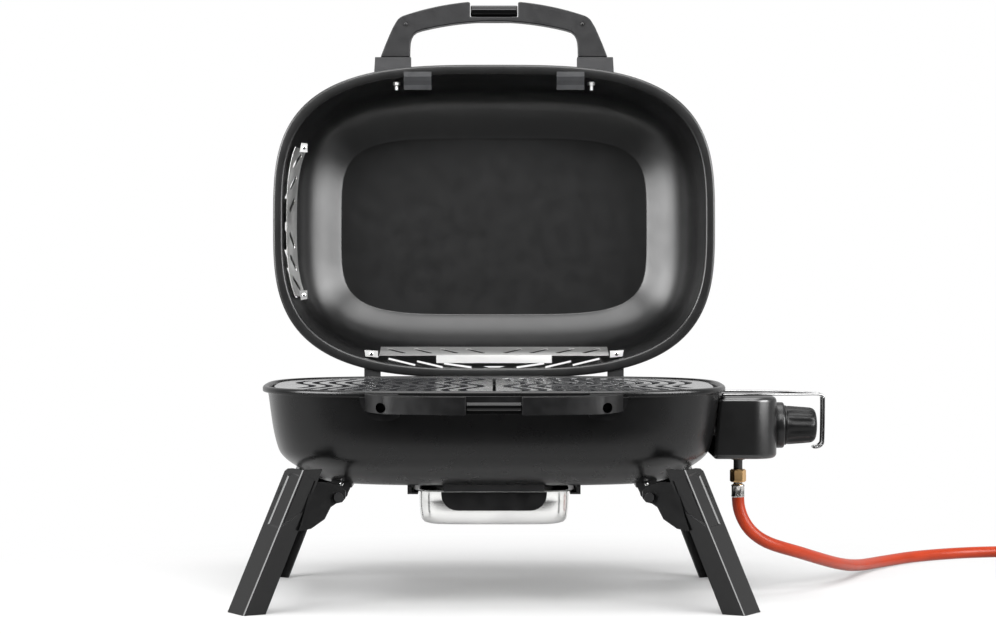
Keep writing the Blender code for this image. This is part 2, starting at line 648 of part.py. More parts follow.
# -------------------------------------------------------------------------------------------------------- legs
def make_leg_frame(name, side):
    """Front post, rear post and the arched beam between them: a bent shell, open towards the grill's middle."""
    # One half, front: the ridge, the outer edge and the inner edge at the floor and at the top
    foot = {"inner": (0.2602, -0.1780), "ridge": (0.2844, -0.1925), "outer": (0.3050, -0.1575)}
    head = {"inner": (0.1960, -0.1640), "ridge": (0.2180, -0.1800), "outer": (0.2350, -0.1440)}
    head_z = 0.1650
    levels = (0.0, 0.0400, 0.0750, 0.1000, 0.1450, head_z)

    def at(line, z):
        t = z / head_z
        return Vector(foot[line]).lerp(Vector(head[line]), t)

    points, index = [], {}

    def add(key, x, y, z):
        index[key] = len(points)
        points.append((side * x, y, z))

    for turn in (1, -1):
        for z in levels:
            for line in ("inner", "ridge", "outer"):
                spot = at(line, z)
                add((turn, line, z), spot.x, turn * spot.y, z)
        add((turn, "lug", 0.1380), 0.1700, turn * -0.1500, 0.1385)
        add((turn, "lug", 0.1250), 0.1725, turn * -0.1500, 0.1245)
        add((turn, "lug", 0.1100), 0.1930, turn * -0.1560, 0.1120)
    faces = []

    def panel(*keys, turn):
        corners = [index[key] for key in keys]
        faces.append(corners if turn > 0 else corners[::-1])

    for turn in (1, -1):
        for low, high in zip(levels, levels[1:]):
            for one, other in (("inner", "ridge"), ("ridge", "outer")):
                corners = [(turn, one, low), (turn, other, low), (turn, other, high), (turn, one, high)]
                panel(*corners, turn=turn)
        post = [(turn, "inner", 0.1000), (turn, "inner", 0.1450)]
        lug = [(turn, "lug", z) for z in (0.1100, 0.1250, 0.1380)]
        panel(lug[0], post[0], post[1], lug[1], turn=turn)
        panel(lug[1], post[1], lug[2], turn=turn)
    beam_low, beam_high, columns, rise = 0.1000, 0.1450, 6, 0.0140
    previous = [index[(1, "outer", z)] for z in (beam_low, beam_high)]
    for i in range(1, columns):
        column = []
        for z in (beam_low + rise * math.sin(math.pi * i / columns), beam_high):
            spot = at("outer", z)
            column.append(len(points))
            points.append((side * spot.x, spot.y * (1 - 2 * i / columns), z))
        faces.append([previous[0], column[0], column[1], previous[1]])
        previous = column
    last = [index[(-1, "outer", z)] for z in (beam_low, beam_high)]
    faces.append([previous[0], last[0], last[1], previous[1]])
    frame = sheet(name, points, faces, LEG_WALL)
    x = side * LEG_PIVOT_X
    hole = cylinder("hole", (x, -0.2, LEG_PIVOT_Z), (x, 0.2, LEG_PIVOT_Z), 0.0033, 12)
    floor_cut = box("floor_cut", (side * 0.28 - 0.1, -0.3, -0.05), (side * 0.28 + 0.1, 0.3, 0.0))
    return cut(frame, hole, floor_cut)


def make_leg_mounting(side, word):
    """Bracket under the bowl and the pivot rod that runs through it and both ends of the leg frame."""
    x = side * LEG_PIVOT_X
    body = box("base", (x - 0.0120, -0.0960, 0.1380), (x + 0.0120, 0.0960, 0.1600))
    ears = []
    for end in (-1, 1):
        outline = [(x - 0.0110, 0.1450), (x - 0.0110, 0.1390)]
        outline += ring_points((x, LEG_PIVOT_Z), 0.0075, 180, 360, 6)
        outline += [(x + 0.0110, 0.1390), (x + 0.0110, 0.1450)]
        middle = end * 0.0930
        ears.append(plate("ear", "XZ", outline, middle - 0.0030, middle + 0.0030))
    bracket = joined(body, *ears)
    hole = cylinder("hole", (x, -0.11, LEG_PIVOT_Z), (x, 0.11, LEG_PIVOT_Z), 0.0033, 12)
    bracket = cut(bracket, bowl_void(), hole)
    bracket.name = "leg_bracket_" + word
    reach, head, thick, thin = 0.1605, 0.0025, 0.0055, 0.0030
    length = 2 * reach
    profile = [(0, 0), (0, thick), (head, thick), (head, thin)]
    profile += [(length - head, thin), (length - head, thick), (length, thick), (length, 0)]
    rod = turned("leg_pivot_rod_" + word, (x, -reach, LEG_PIVOT_Z), (0, 1, 0), profile, 12)
    return bracket, rod


# -------------------------------------------------------------------------------------------------- grease pan
def make_tray():
    """Pan with a rim that slides in two rails, its grip tab, the rails and the drain chute above."""
    rings = [
        oval(0.0950, 0.1045, 0.1343, 7, 32),
        oval(0.0872, 0.0970, 0.1343, 7, 32),
        oval(0.0862, 0.0960, 0.1325, 7, 32),
        oval(0.0850, 0.0948, 0.1110, 6, 32),
        oval(0.0800, 0.0898, 0.1000, 5, 32),
        oval(0.0690, 0.0788, 0.0962, 4.5, 32),
    ]
    pan = loft("drip_pan", rings, 0.0010, cap_last=True)
    curve = ring_points((0.0425, 0.1310), 0.0190, 0, -90, 6)
    side = [(0.0615, 0.1335), *curve]
    tab = plate("drip_pan_tab", "XZ", mirrored(side), -0.1085, -0.1050)
    rails = []
    for turn, word in ((-1, "left"), (1, "right")):
        section = [(0.1010, 0.1500), (0.1010, 0.1305), (0.0888, 0.1305), (0.0888, 0.1325)]
        section += [(0.0965, 0.1325), (0.0965, 0.1500)]
        rail = plate("tray_rail_" + word, "XZ", [(turn * x, z) for x, z in section], -0.1000, 0.1000)
        rails.append(cut(rail, bowl_void()))
    chute = box("drain_chute", (-0.0585, -0.1220, 0.1352), (0.0585, 0.0700, 0.1520))
    hole = cylinder("hole", (0, 0, 0.12), (0, 0, 0.16), DRAIN_RADIUS)
    return pan, tab, *rails, cut(chute, bowl_void(), hole)


# ---------------------------------------------------------------------------------------- valve box and its gas
def make_control_box():
    """Hollow box on the bowl's right end, open towards the bowl."""
    corner = 0.0240
    x, y = BOX_OUTER_X - corner, BOX_HALF_Y - corner
    outline = [(0.2300, -BOX_HALF_Y), *ring_points((x, -y), corner, -90, 0, 6)]
    outline += [*ring_points((x, y), corner, 0, 90, 6), (0.2300, BOX_HALF_Y)]
    body = plate("control_box", "XY", outline, BOX_LOW, BOX_HIGH)
    below, above = BOX_LOW - 0.01, BOX_HIGH + 0.01
    slope = [(0.2575, below), (0.2655, above), (0.40, above), (0.40, below)]
    body = boolean(body, [plate("slope", "XZ", slope, -0.1, 0.1)], "INTERSECT")
    edge = body.modifiers.new("Bevel", "BEVEL")
    edge.width = 0.0040
    edge.segments = 2
    edge.angle_limit = math.radians(60)
    body = baked(body)
    inner = BOX_WALL
    hollow = box(
        "hollow",
        (0.2300, -BOX_HALF_Y + inner, BOX_LOW + inner),
        (BOX_OUTER_X - inner, BOX_HALF_Y - inner, BOX_HIGH - inner - 0.0015),
    )
    rounded = [(0.22, -0.057), *ring_points((x, -y), corner - inner, -90, 0, 5)]
    rounded += [*ring_points((x, y), corner - inner, 0, 90, 5), (0.22, 0.057)]
    hollow = boolean(hollow, [plate("trim", "XY", rounded, BOX_LOW, BOX_HIGH)], "INTERSECT")
    inlet_hole = cylinder("inlet_hole", (INLET_X, 0, 0.15), (INLET_X, 0, 0.18), 0.0060)
    stem_hole = cylinder("stem_hole", (0.32, 0, KNOB_Z), (0.36, 0, KNOB_Z), 0.0080)
    return cut(body, bowl_void(), hollow, inlet_hole, stem_hole)


def make_valve():
    """Bezel ring on the box, the valve's body inside it, the plug that turns and the stem that slides."""
    face = BOX_OUTER_X + GAP
    bezel_profile = [(0, 0.0075), (0, 0.0275), (0.0102, 0.0275), (0.0112, 0.0262)]
    bezel_profile += [(0.0112, 0.0243), (0.0062, 0.0243), (0.0062, 0.0075)]
    bezel = turned("knob_bezel", (face, 0, KNOB_Z), (1, 0, 0), [*bezel_profile, bezel_profile[0]], 32)
    body = box("valve_body", (0.2850, -0.0140, 0.1890), (0.3330, 0.0140, 0.2210), bevel=0.001)
    body = cut(body, cylinder("bore", (0.3060, 0, KNOB_Z), (0.34, 0, KNOB_Z), 0.0085))
    plug_profile = ((0, 0), (0, 0.0082), (0.0190, 0.0082), (0.0190, 0.0043), (0.0098, 0.0043), (0.0098, 0))
    plug = turned("valve_plug", (0.3063, 0, KNOB_Z), (1, 0, 0), plug_profile, 20)
    stem_profile = ((0, 0), (0, 0.0040), (0.0500, 0.0040), (0.0500, 0))
    stem = turned("valve_stem", (0.3200, 0, KNOB_Z), (1, 0, 0), stem_profile, 16)
    return bezel, body, plug, stem


def make_knob():
    """Fluted knob: a turned body with a domed end, with flats cut along its side and a bore for the stem."""
    back = 0.3475
    profile = [(0, 0.0043), (0, 0.0234), (0.0020, 0.0238), (0.0340, 0.0212), (0.0385, 0.0190)]
    profile += [(0.0400, 0.0150), (0.0405, 0), (0.0235, 0), (0.0235, 0.0043), (0, 0.0043)]
    knob = turned("control_knob", (back, 0, KNOB_Z), (1, 0, 0), profile, 32)
    flutes = []
    for i in range(8):
        angle = math.radians(22.5 + 45 * i)
        y, z = 0.0290 * math.cos(angle), KNOB_Z + 0.0290 * math.sin(angle)
        flutes.append(cylinder("flute", (back + 0.0060, y, z), (back + 0.05, y, z), 0.0072, 10))
    return cut(knob, *flutes)


def make_knob_guard():
    """Chrome wire over the valve box that bends down in front of the knob."""
    half = [(0.2700, 0.0450, 0.2436), (0.3000, 0.0420, 0.2437), (0.3350, 0.0340, 0.2437)]
    half += [(0.3650, 0.0230, 0.2432), (0.3880, 0.0150, 0.2428), (0.3940, 0.0130, 0.2405)]
    half += [(0.3950, 0.0125, 0.2350), (0.3945, 0.0125, 0.1900), (0.3930, 0.0125, 0.1825)]
    half += [(0.3890, 0.0120, 0.1795), (0.3840, 0.0090, 0.1788)]
    wire = half + [(x, -y, z) for x, y, z in reversed(half)]
    return tube("knob_guard", wire, 0.0015)


def make_gas_line():
    """Inlet fitting, brass union nut, crimped ferrule, free hose, its coil, its tail and the regulator."""
    inlet_profile = [(0, 0), (0, 0.0050), (0.0210, 0.0050), (0.0210, 0.0085), (0.0248, 0.0085)]
    inlet_profile += [(0.0248, 0.0054), (0.0438, 0.0054), (0.0438, 0)]
    inlet = turned("gas_inlet_fitting", (INLET_X, 0, 0.1885), (0, 0, -1), inlet_profile, 16)
    across = 0.0170 / math.sqrt(3)
    bore = 0.0068
    nut_profile = [(0, bore), (0, 0.0090), (0.0012, across), (0.0143, across), (0.0155, 0.0090)]
    nut_profile += [(0.0155, bore), (0, bore)]
    nut = turned("gas_nut", (INLET_X, 0, 0.1520), (0, 0, -1), nut_profile, 6)
    crimp = [(0, 0), (0, 0.0052), (0.0095, 0.0052), (0.0100, 0.0068), (0.0112, 0.0082), (0.0140, 0.0082)]
    crimp += [(0.0150, 0.0077), (0.0200, 0.0077), (0.0212, 0.0082), (0.0254, 0.0082), (0.0254, 0)]
    ferrule = turned("hose_ferrule", (INLET_X, 0, 0.1440), (0, 0, -1), crimp, 20)
    x, y, z = HOSE_ROUTE[0]
    run_points = smooth(HOSE_ROUTE, 0.0150)
    run_points.insert(1, (x, y, z - 0.0030))
    run = tube("hose_run", run_points, HOSE_RADIUS, resolution=2)
    inner, outer = COIL_RADIUS - HOSE_RADIUS, COIL_RADIUS + HOSE_RADIUS
    low, high = 0.0002, 0.0302
    ring_profile = [(low, inner), (low, outer), (high, outer), (high, inner), (low, inner)]
    coil = turned("hose_coil", (COIL_X, COIL_Y, 0), (0, 0, 1), ring_profile, 40)
    return inlet, nut, ferrule, run, coil, *make_hose_end()


def make_hose_end():
    """The hose's tail and the regulator with its outlet stub and its hexagonal cylinder nut."""
    x, y, z = TAIL_ROUTE[-1]
    tail_points = smooth(TAIL_ROUTE, 0.0150)
    tail_points.insert(-1, (x, y + 0.0030, z))
    tail = tube("hose_tail", tail_points, HOSE_RADIUS, resolution=2)
    x, y = REGULATOR_X, REGULATOR_Y
    profile = ((0, 0), (0, 0.0300), (0.0030, 0.0320), (0.0150, 0.0320), (0.0190, 0.0300))
    profile += ((0.0210, 0.0240), (0.0330, 0.0210), (0.0380, 0.0170), (0.0390, 0))
    body = turned("regulator", (x, y, 0.0002), (0, 0, 1), profile, 28)
    outlet = cylinder("outlet", (x, y, 0.0140), (x, TAIL_ROUTE[-1][1] - GAP, 0.0140), 0.0082, 12)
    inlet = cylinder("inlet", (x, y, 0.0140), (x, y - 0.0560, 0.0140), 0.0135, 6)
    return tail, joined(body, outlet, inlet)


# ---------------------------------------------------------------------------------------------------- assembly
def collection(name):
    group = bpy.data.collections.new(name)
    bpy.context.scene.collection.children.link(group)
    return group


def empty(name, location, parent=None, turn_x=0.0):
    obj = bpy.data.objects.new(name, None)
    obj.location = location
    obj.rotation_euler.x = turn_x
    obj.parent = parent
    return obj


def finish(part, group, mat, parent, axis=(0, 0, 0)):
    """Give a finished part its material and hang it, unmoved, from the empty on its joint's axis."""
    for owner in list(part.users_collection):
        owner.objects.unlink(part)
    group.objects.link(part)
    part.data.name = part.name
    part.data.materials.clear()
    part.data.materials.append(mat)
    part.data.shade_smooth()
    part.data.set_sharp_from_angle(angle=math.radians(35))
    part.parent = parent
    part.location = -Vector(axis)


def main():
    for obj in list(bpy.data.objects):
        bpy.data.objects.remove(obj)
    mats = make_materials()
    group = collection("portable_gas_grill")
    pivots = collection("joint_axes")
    grill = empty("grill", (-ORIGIN_X, -ORIGIN_Y, 0))
    axes = {
        "lid": (0, HINGE_Y, HINGE_Z),
        "leg_left": (-LEG_PIVOT_X, 0, LEG_PIVOT_Z),
        "leg_right": (LEG_PIVOT_X, 0, LEG_PIVOT_Z),
        "knob": (0.3063, 0, KNOB_Z),
        "tray": (0, 0, 0.1343),
        "latch": (0, ROLLER_Y, ROLLER_Z),
        "grid_left": (-0.1300, 0, 0.2500),
        "grid_right": (0.1300, 0, 0.2500),
    }
    empties = {"grill": grill}
    pivots.objects.link(grill)
    for name, place in axes.items():
        turn = -math.radians(LID_OPEN_DEG) if name == "lid" else 0.0
        parent, spot = grill, place
        if name == "latch":
            parent, spot = empties["lid"], Vector(place) - Vector(axes["lid"])
        empties[name] = empty(name + "_axis", spot, parent, turn)
        pivots.objects.link(empties[name])
    axes["grill"] = (0, 0, 0)

    def put(holder, mat, *parts):
        for part in parts:
            finish(part, group, mats[mat], empties[holder], axes[holder])

    put("grill", "black_coat", make_bowl())
    put("grill", "black_steel", make_grid_support_ring())
    burner, support, heat, jet, electrode = make_burner()
    put("grill", "stainless", burner, support, heat)
    put("grill", "brass", jet)
    put("grill", "ceramic", electrode)
    put("grid_left", "cast_enamel", make_grid("grid_left", -1))
    put("grid_right", "cast_enamel", make_grid("grid_right", 1))

    arch, rod, left, right = make_front_handle()
    put("grill", "grey_plastic", arch, left, right)
    put("grill", "polished_steel", rod)
    put("lid", "black_coat", make_lid_shell())
    put("lid", "grey_plastic", *make_lid_handle())
    for side, word in ((-1, "left"), (1, "right")):
        put("lid", "grey_plastic", make_rest_pad("lid_rest_pad_" + word, side))
        put("lid", "polished_steel", make_fixing_nut("lid_fixing_nut_" + word, side))
        bracket, leaf, pin = make_hinge(side, word)
        put("grill", "black_steel", bracket)
        put("grill", "polished_steel", pin)
        put("lid", "black_steel", leaf)
        put("leg_" + word, "leg_plastic", make_leg_frame(word + "_leg_frame", side))
        leg_bracket, leg_rod = make_leg_mounting(side, word)
        put("grill", "black_steel", leg_bracket, leg_rod)
    put("latch", "black_plastic", make_latch())
    put("lid", "stainless", *make_rear_baffle(), *make_left_baffle())

    pan, tab, rail_left, rail_right, chute = make_tray()
    put("tray", "polished_steel", pan)
    put("tray", "black_plastic", tab)
    put("grill", "black_steel", rail_left, rail_right, chute)

    put("grill", "black_plastic", make_control_box())
    bezel, valve_body, plug, stem = make_valve()
    put("grill", "black_plastic", bezel)
    put("grill", "brass", valve_body)
    put("knob", "brass", plug, stem)
    put("knob", "black_plastic", make_knob())
    put("grill", "polished_steel", make_knob_guard())
    inlet, nut, ferrule, run, coil, tail, regulator = make_gas_line()
    put("grill", "black_steel", inlet)
    put("grill", "brass", nut)
    put("grill", "polished_steel", ferrule)
    put("grill", "hose_rubber", run, coil, tail)
    put("grill", "brass", regulator)


main()
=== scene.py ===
"""Portable gas grill in a pale studio: the visible surfaces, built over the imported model.

Metres. Pieces are laid out in the grill's own coordinates, with the lid closed and zero on the floor under
the bowl's centre. GRILL and LID carry them to where they stand in the model.
"""

import math

import bmesh
import bpy
from mathutils import Matrix, Vector


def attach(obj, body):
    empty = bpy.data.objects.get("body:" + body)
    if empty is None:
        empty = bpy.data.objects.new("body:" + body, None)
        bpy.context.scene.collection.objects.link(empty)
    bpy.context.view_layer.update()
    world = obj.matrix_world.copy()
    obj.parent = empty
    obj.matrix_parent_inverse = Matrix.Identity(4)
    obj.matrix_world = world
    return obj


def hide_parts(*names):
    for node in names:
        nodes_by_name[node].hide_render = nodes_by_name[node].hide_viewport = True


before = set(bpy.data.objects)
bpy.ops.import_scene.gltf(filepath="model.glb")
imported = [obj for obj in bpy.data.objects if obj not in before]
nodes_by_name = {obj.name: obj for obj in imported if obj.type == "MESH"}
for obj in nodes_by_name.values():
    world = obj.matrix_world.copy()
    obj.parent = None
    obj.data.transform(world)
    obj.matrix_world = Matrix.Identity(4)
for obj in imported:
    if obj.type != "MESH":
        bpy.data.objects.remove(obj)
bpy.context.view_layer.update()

HINGE = Vector((0, 0.2070, 0.2465))
OPENING = math.radians(92.5)  # how far the lid stands open in the model
GRILL = Matrix.Translation((-0.0450, -0.0440, 0))
SWING = Matrix.Translation(HINGE) @ Matrix.Rotation(-OPENING, 4, "X") @ Matrix.Translation(-HINGE)
LID = GRILL @ SWING

LEFT_RIGHT = ((-1, "left"), (1, "right"))
FRONT_REAR = ((-1, "front"), (1, "rear"))
OVAL = 3.2  # power of the superellipse that the rims follow
OVAL_POINTS = 160
BOWL_LONGER, LID_LONGER = 0.0825, 0.0826  # how much an oval's half length is more than its half depth
LID_Z = 0.2585  # underside of the closed lid's flange
BOX_FACE_X = 0.3365  # outer face of the valve box
KNOB_Z = 0.2050
INLET_X = 0.2935  # gas inlet, nut, ferrule and hose exit
GAP = 0.0003  # clearance between touching pieces
SHEET = 0.0010  # thickness of the baffles
HOSE_RADIUS = 0.0075
HOSE_LIES_Z = 0.0077
WELD = 0.000005
UPRIGHT = Matrix.Rotation(math.radians(90), 4, "X")


# ---- shapes
def new_object(name, data):
    obj = bpy.data.objects.new(name, data)
    bpy.context.scene.collection.objects.link(obj)
    return obj


def clean(mesh, weld=0.0, flatten=0.0):
    """Weld points and merge flat faces where asked, and turn all faces outward."""
    work = bmesh.new()
    work.from_mesh(mesh)
    if weld:
        bmesh.ops.remove_doubles(work, verts=work.verts, dist=weld)
    if flatten:
        bmesh.ops.dissolve_limit(work, angle_limit=flatten, verts=work.verts, edges=work.edges)
    bmesh.ops.recalc_face_normals(work, faces=work.faces)
    work.to_mesh(mesh)
    work.free()
    return mesh


def outward(obj):
    clean(obj.data)
    return obj


def from_faces(name, points, faces):
    mesh = bpy.data.meshes.new(name)
    mesh.from_pydata([tuple(p) for p in points], [], faces)
    return new_object(name, clean(mesh, WELD))


def oval(half_x, half_y, z, power=OVAL, count=OVAL_POINTS):
    """Points of a superellipse at one height."""
    points = []
    for i in range(count):
        c, s = math.cos(2 * math.pi * i / count), math.sin(2 * math.pi * i / count)
        x = half_x * math.copysign(abs(c) ** (2 / power), c)
        y = half_y * math.copysign(abs(s) ** (2 / power), s)
        points.append((x, y, z))
    return points


def loft(name, rings, loop=False, caps=False):
    """Quads between rings of equal count; loop joins the last ring to the first, caps closes both ends."""
    count = len(rings[0])
    points = [p for ring in rings for p in ring]
    pairs = list(zip(range(len(rings)), range(1, len(rings))))
    if loop:
        pairs.append((len(rings) - 1, 0))
    faces = []
    for a, b in pairs:
        for i in range(count):
            j = (i + 1) % count
            faces.append((a * count + i, a * count + j, b * count + j, b * count + i))
    if caps:
        faces.append(tuple(range(count)))
        faces.append(tuple(range((len(rings) - 1) * count, len(rings) * count)))
    return from_faces(name, points, faces)


def frame_along(start, along):
    return Matrix.Translation(start) @ Vector(along).to_track_quat("Z", "Y").to_matrix().to_4x4()


def turned(name, start, along, profile, steps=48, ripple=None):
    """Solid of revolution from (distance along the axis, radius) pairs; ripple scales the radii."""
    rings = []
    for distance, radius in profile:
        ring = []
        for i in range(steps):
            angle = 2 * math.pi * i / steps
            r = max(radius, 0.00002) * (ripple(distance, angle) if ripple else 1)
            ring.append((r * math.cos(angle), r * math.sin(angle), distance))
        rings.append(ring)
    obj = loft(name, rings, loop=profile[0] == profile[-1], caps=profile[0] != profile[-1])
    obj.data.transform(frame_along(start, along))
    return obj


def add_strand(curve, points, closed=False):
    strand = curve.splines.new("POLY")
    strand.points.add(len(points) - 1)
    for point, place in zip(strand.points, points):
        point.co = (*place, 1)
    strand.use_cyclic_u = closed


def prism(name, plane, outline, low, high, holes=()):
    """A flat outline with holes in the XY, XZ or YZ plane, from low to high along the third axis."""
    curve = bpy.data.curves.new(name, "CURVE")
    curve.dimensions = "2D"
    curve.fill_mode = "BOTH"
    curve.extrude = (high - low) / 2
    for line in (outline, *holes):
        add_strand(curve, [(u, v, 0) for u, v in line], closed=True)
    holder = new_object(name + "_line", curve)
    mesh = bpy.data.meshes.new_from_object(holder.evaluated_get(bpy.context.evaluated_depsgraph_get()))
    bpy.data.objects.remove(holder)
    middle = (low + high) / 2
    turn, spot = Matrix(), (0, 0, middle)
    if plane == "XZ":
        turn, spot = Matrix.Rotation(math.pi / 2, 4, "X"), (0, middle, 0)
    elif plane == "YZ":
        turn = Matrix.Rotation(math.pi / 2, 4, "Z") @ Matrix.Rotation(math.pi / 2, 4, "X")
        spot = (middle, 0, 0)
    mesh.transform(Matrix.Translation(spot) @ turn)
    return new_object(name, clean(mesh, WELD, flatten=0.002))


def tube(name, points, radius, resolution=8):
    curve = bpy.data.curves.new(name, "CURVE")
    curve.dimensions = "3D"
    curve.bevel_depth = radius
    curve.bevel_resolution = resolution
    curve.use_fill_caps = True
    add_strand(curve, points)
    return new_object(name, curve)


def baked(obj):
    """The object's evaluated shape as its own mesh, with no modifiers left."""
    bpy.context.view_layer.update()
    mesh = bpy.data.meshes.new_from_object(obj.evaluated_get(bpy.context.evaluated_depsgraph_get()))
    name = obj.name
    bpy.data.objects.remove(obj)
    mesh.name = name
    return new_object(name, mesh)


def boolean(target, cutters, operation="DIFFERENCE"):
    for cutter in cutters:
        step = target.modifiers.new("Boolean", "BOOLEAN")
        step.operation = operation
        step.object = cutter
        step.solver = "EXACT"
    result = baked(target)
    for cutter in cutters:
        bpy.data.objects.remove(cutter)
    return result


def stadium(length, width, steps=8):
    """Outline of a slot with round ends, centred, along u."""
    half, radius = length / 2 - width / 2, width / 2
    points = []
    for centre, start in ((half, -90), (-half, 90)):
        for i in range(steps + 1):
            angle = math.radians(start + 180 * i / steps)
            points.append((centre + radius * math.cos(angle), radius * math.sin(angle)))
    return points


def slot_cutter(length, width, depth, place):
    cutter = prism("slot", "XY", stadium(length, width), -depth / 2, depth / 2)
    cutter.data.transform(place)
    return cutter


def arc(centre, radius, start_deg, end_deg, steps):
    points = []
    for i in range(steps + 1):
        angle = math.radians(start_deg + (end_deg - start_deg) * i / steps)
        points.append((centre[0] + radius * math.cos(angle), centre[1] + radius * math.sin(angle)))
    return points


def spline(points, per_piece=8):
    """Points along a Catmull-Rom curve through the given points, ends included."""
    places = [Vector(p) for p in points]
    places = [places[0] * 2 - places[1], *places, places[-1] * 2 - places[-2]]
    fine = []
    for a, b, c, d in zip(places, places[1:], places[2:], places[3:]):
        for k in range(per_piece):
            t = k / per_piece
            square = (2 * a - 5 * b + 4 * c - d) * t**2
            cube = (3 * b - a - 3 * c + d) * t**3
            fine.append(0.5 * (2 * b + (c - a) * t + square + cube))
    return fine + [places[-2]]


# ---- materials
def new_node(tree, kind, values=()):
    """A shader node with values for its sockets, given as a dictionary by socket name."""
    made = tree.nodes.new("ShaderNode" + kind)
    for socket in values:
        made.inputs[socket].default_value = values[socket]
    return made


def surface(
    name, color, roughness, metallic=0.0, grain=900.0, bump=0.1, tone=0.12, spread=0.05, coat=0.0,
    stretch=(1, 1, 1), specular=0.5, depth=0.0002
):
    """Principled material with fine grain as bump, and broad variation of its tone and roughness."""
    mat = bpy.data.materials.new(name)
    mat.use_nodes = True
    tree = mat.node_tree
    link = tree.links.new
    shader = tree.nodes["Principled BSDF"]
    shader.inputs["Metallic"].default_value = metallic
    shader.inputs["Specular IOR Level"].default_value = specular
    shader.inputs["Coat Weight"].default_value = coat
    shader.inputs["Coat Roughness"].default_value = 0.08
    where = new_node(tree, "TexCoord")
    mapping = new_node(tree, "Mapping", {"Scale": stretch})
    link(where.outputs["Object"], mapping.inputs["Vector"])
    fine = new_node(tree, "TexNoise", {"Scale": grain, "Detail": 4})
    broad = new_node(tree, "TexNoise", {"Scale": grain / 30, "Detail": 6})
    for noise in (fine, broad):
        link(mapping.outputs["Vector"], noise.inputs["Vector"])
    ramp = new_node(tree, "ValToRGB")
    ramp.color_ramp.elements[0].position = 0.35
    ramp.color_ramp.elements[1].position = 0.65
    ramp.color_ramp.elements[0].color = (*[c * (1 - tone) for c in color], 1)
    ramp.color_ramp.elements[1].color = (*[min(c * (1 + tone), 1) for c in color], 1)
    link(broad.outputs["Fac"], ramp.inputs["Fac"])
    link(ramp.outputs["Color"], shader.inputs["Base Color"])
    low, high = max(roughness - spread, 0.02), roughness + spread
    span = new_node(tree, "MapRange", {"From Min": 0.3, "From Max": 0.7, "To Min": low, "To Max": high})
    link(broad.outputs["Fac"], span.inputs["Value"])
    link(span.outputs["Result"], shader.inputs["Roughness"])
    raised = new_node(tree, "Bump", {"Strength": bump, "Distance": depth})
    link(fine.outputs["Fac"], raised.inputs["Height"])
    link(raised.outputs["Normal"], shader.inputs["Normal"])
    return mat


MATS = {
    "black_coat": surface(
        "powder_coat", (0.0012, 0.0012, 0.0013), 0.28, grain=1400, bump=0.05, spread=0.012, specular=0.34
    ),
    "lid_coat": surface(
        "lid_powder_coat", (0.0010, 0.0010, 0.0011), 0.355, grain=1400, bump=0.05, spread=0.02
    ),
    "box_plastic": surface(
        "box_plastic", (0.0015, 0.0015, 0.0016), 0.29, grain=2200, bump=0.04, spread=0.008, specular=0.75
    ),
    "knob_plastic": surface(
        "knob_plastic", (0.0015, 0.0015, 0.0016), 0.38, grain=2200, bump=0.08, specular=0.22
    ),
    "black_plastic": surface(
        "black_plastic", (0.002, 0.002, 0.0022), 0.36, grain=2200, bump=0.10, specular=0.36
    ),
    "gloss_black": surface(
        "gloss_black", (0.0018, 0.0018, 0.0019), 0.14, grain=500, bump=0.03, spread=0.03, specular=0.22
    ),
    "grey_plastic": surface(
        "grey_plastic", (0.0045, 0.0045, 0.005), 0.46, grain=2600, bump=0.2, tone=0.10, specular=0.34
    ),
    "grip_plastic": surface(
        "grip_plastic", (0.002, 0.002, 0.0022), 0.36, grain=2600, bump=0.15, tone=0.10, specular=0.34
    ),
    # Painted shade: the guard wire is polished steel, but its colour is darkened well below polished steel's
    # so that it shows the dark reflections of the wire.
    "wire": surface("guard_wire", (0.22, 0.22, 0.22), 0.16, 1.0, grain=700, bump=0.03, spread=0.04),
    "foot_plastic": surface("foot_plastic", (0.010, 0.010, 0.011), 0.48, grain=2600, bump=0.3, tone=0.10),
    "pad_plastic": surface("pad_plastic", (0.020, 0.0205, 0.022), 0.45, grain=2600, bump=0.3, tone=0.10),
    "leg_plastic": surface(
        "leg_plastic", (0.0010, 0.0010, 0.0011), 0.25, grain=1800, bump=0.04, spread=0.010, specular=0.33
    ),
    "enamel": surface(
        "cast_enamel", (0.022, 0.0225, 0.024), 0.18, grain=420, bump=0.30, coat=0.4, depth=0.0004
    ),
    "steel": surface(
        "rolled_steel", (0.76, 0.76, 0.75), 0.40, 1.0, grain=900, bump=0.08, stretch=(0.06, 1, 1), spread=0.07
    ),
    "polished": surface("polished_steel", (0.74, 0.74, 0.74), 0.11, 1.0, grain=700, bump=0.03, spread=0.04),
    "crimped": surface("crimped_steel", (0.58, 0.56, 0.54), 0.24, 1.0, grain=600, bump=0.12, spread=0.09),
    "pan_steel": surface("pan_steel", (0.70, 0.70, 0.69), 0.16, 1.0, grain=300, bump=0.10, spread=0.06),
    "black_steel": surface("black_steel", (0.004, 0.004, 0.0043), 0.40, 0.0, grain=1500, bump=0.2),
    "brass": surface("brass", (0.78, 0.50, 0.23), 0.32, 1.0, grain=1200, bump=0.08, spread=0.06),
    "hose": surface(
        "hose_rubber", (0.235, 0.020, 0.0035), 0.36, grain=1100, bump=0.10, tone=0.07, spread=0.04,
        specular=0.24
    ),
    "ceramic": surface("ceramic", (0.72, 0.70, 0.64), 0.30, grain=800, bump=0.05),
}


# ---- placing
def soften(obj, width, angle, segments=2, harden=False):
    """Round the edges that turn by more than an angle."""
    step = obj.modifiers.new("Bevel", "BEVEL")
    step.width = width
    step.segments = segments
    step.limit_method = "ANGLE"
    step.angle_limit = math.radians(angle)
    step.harden_normals = harden


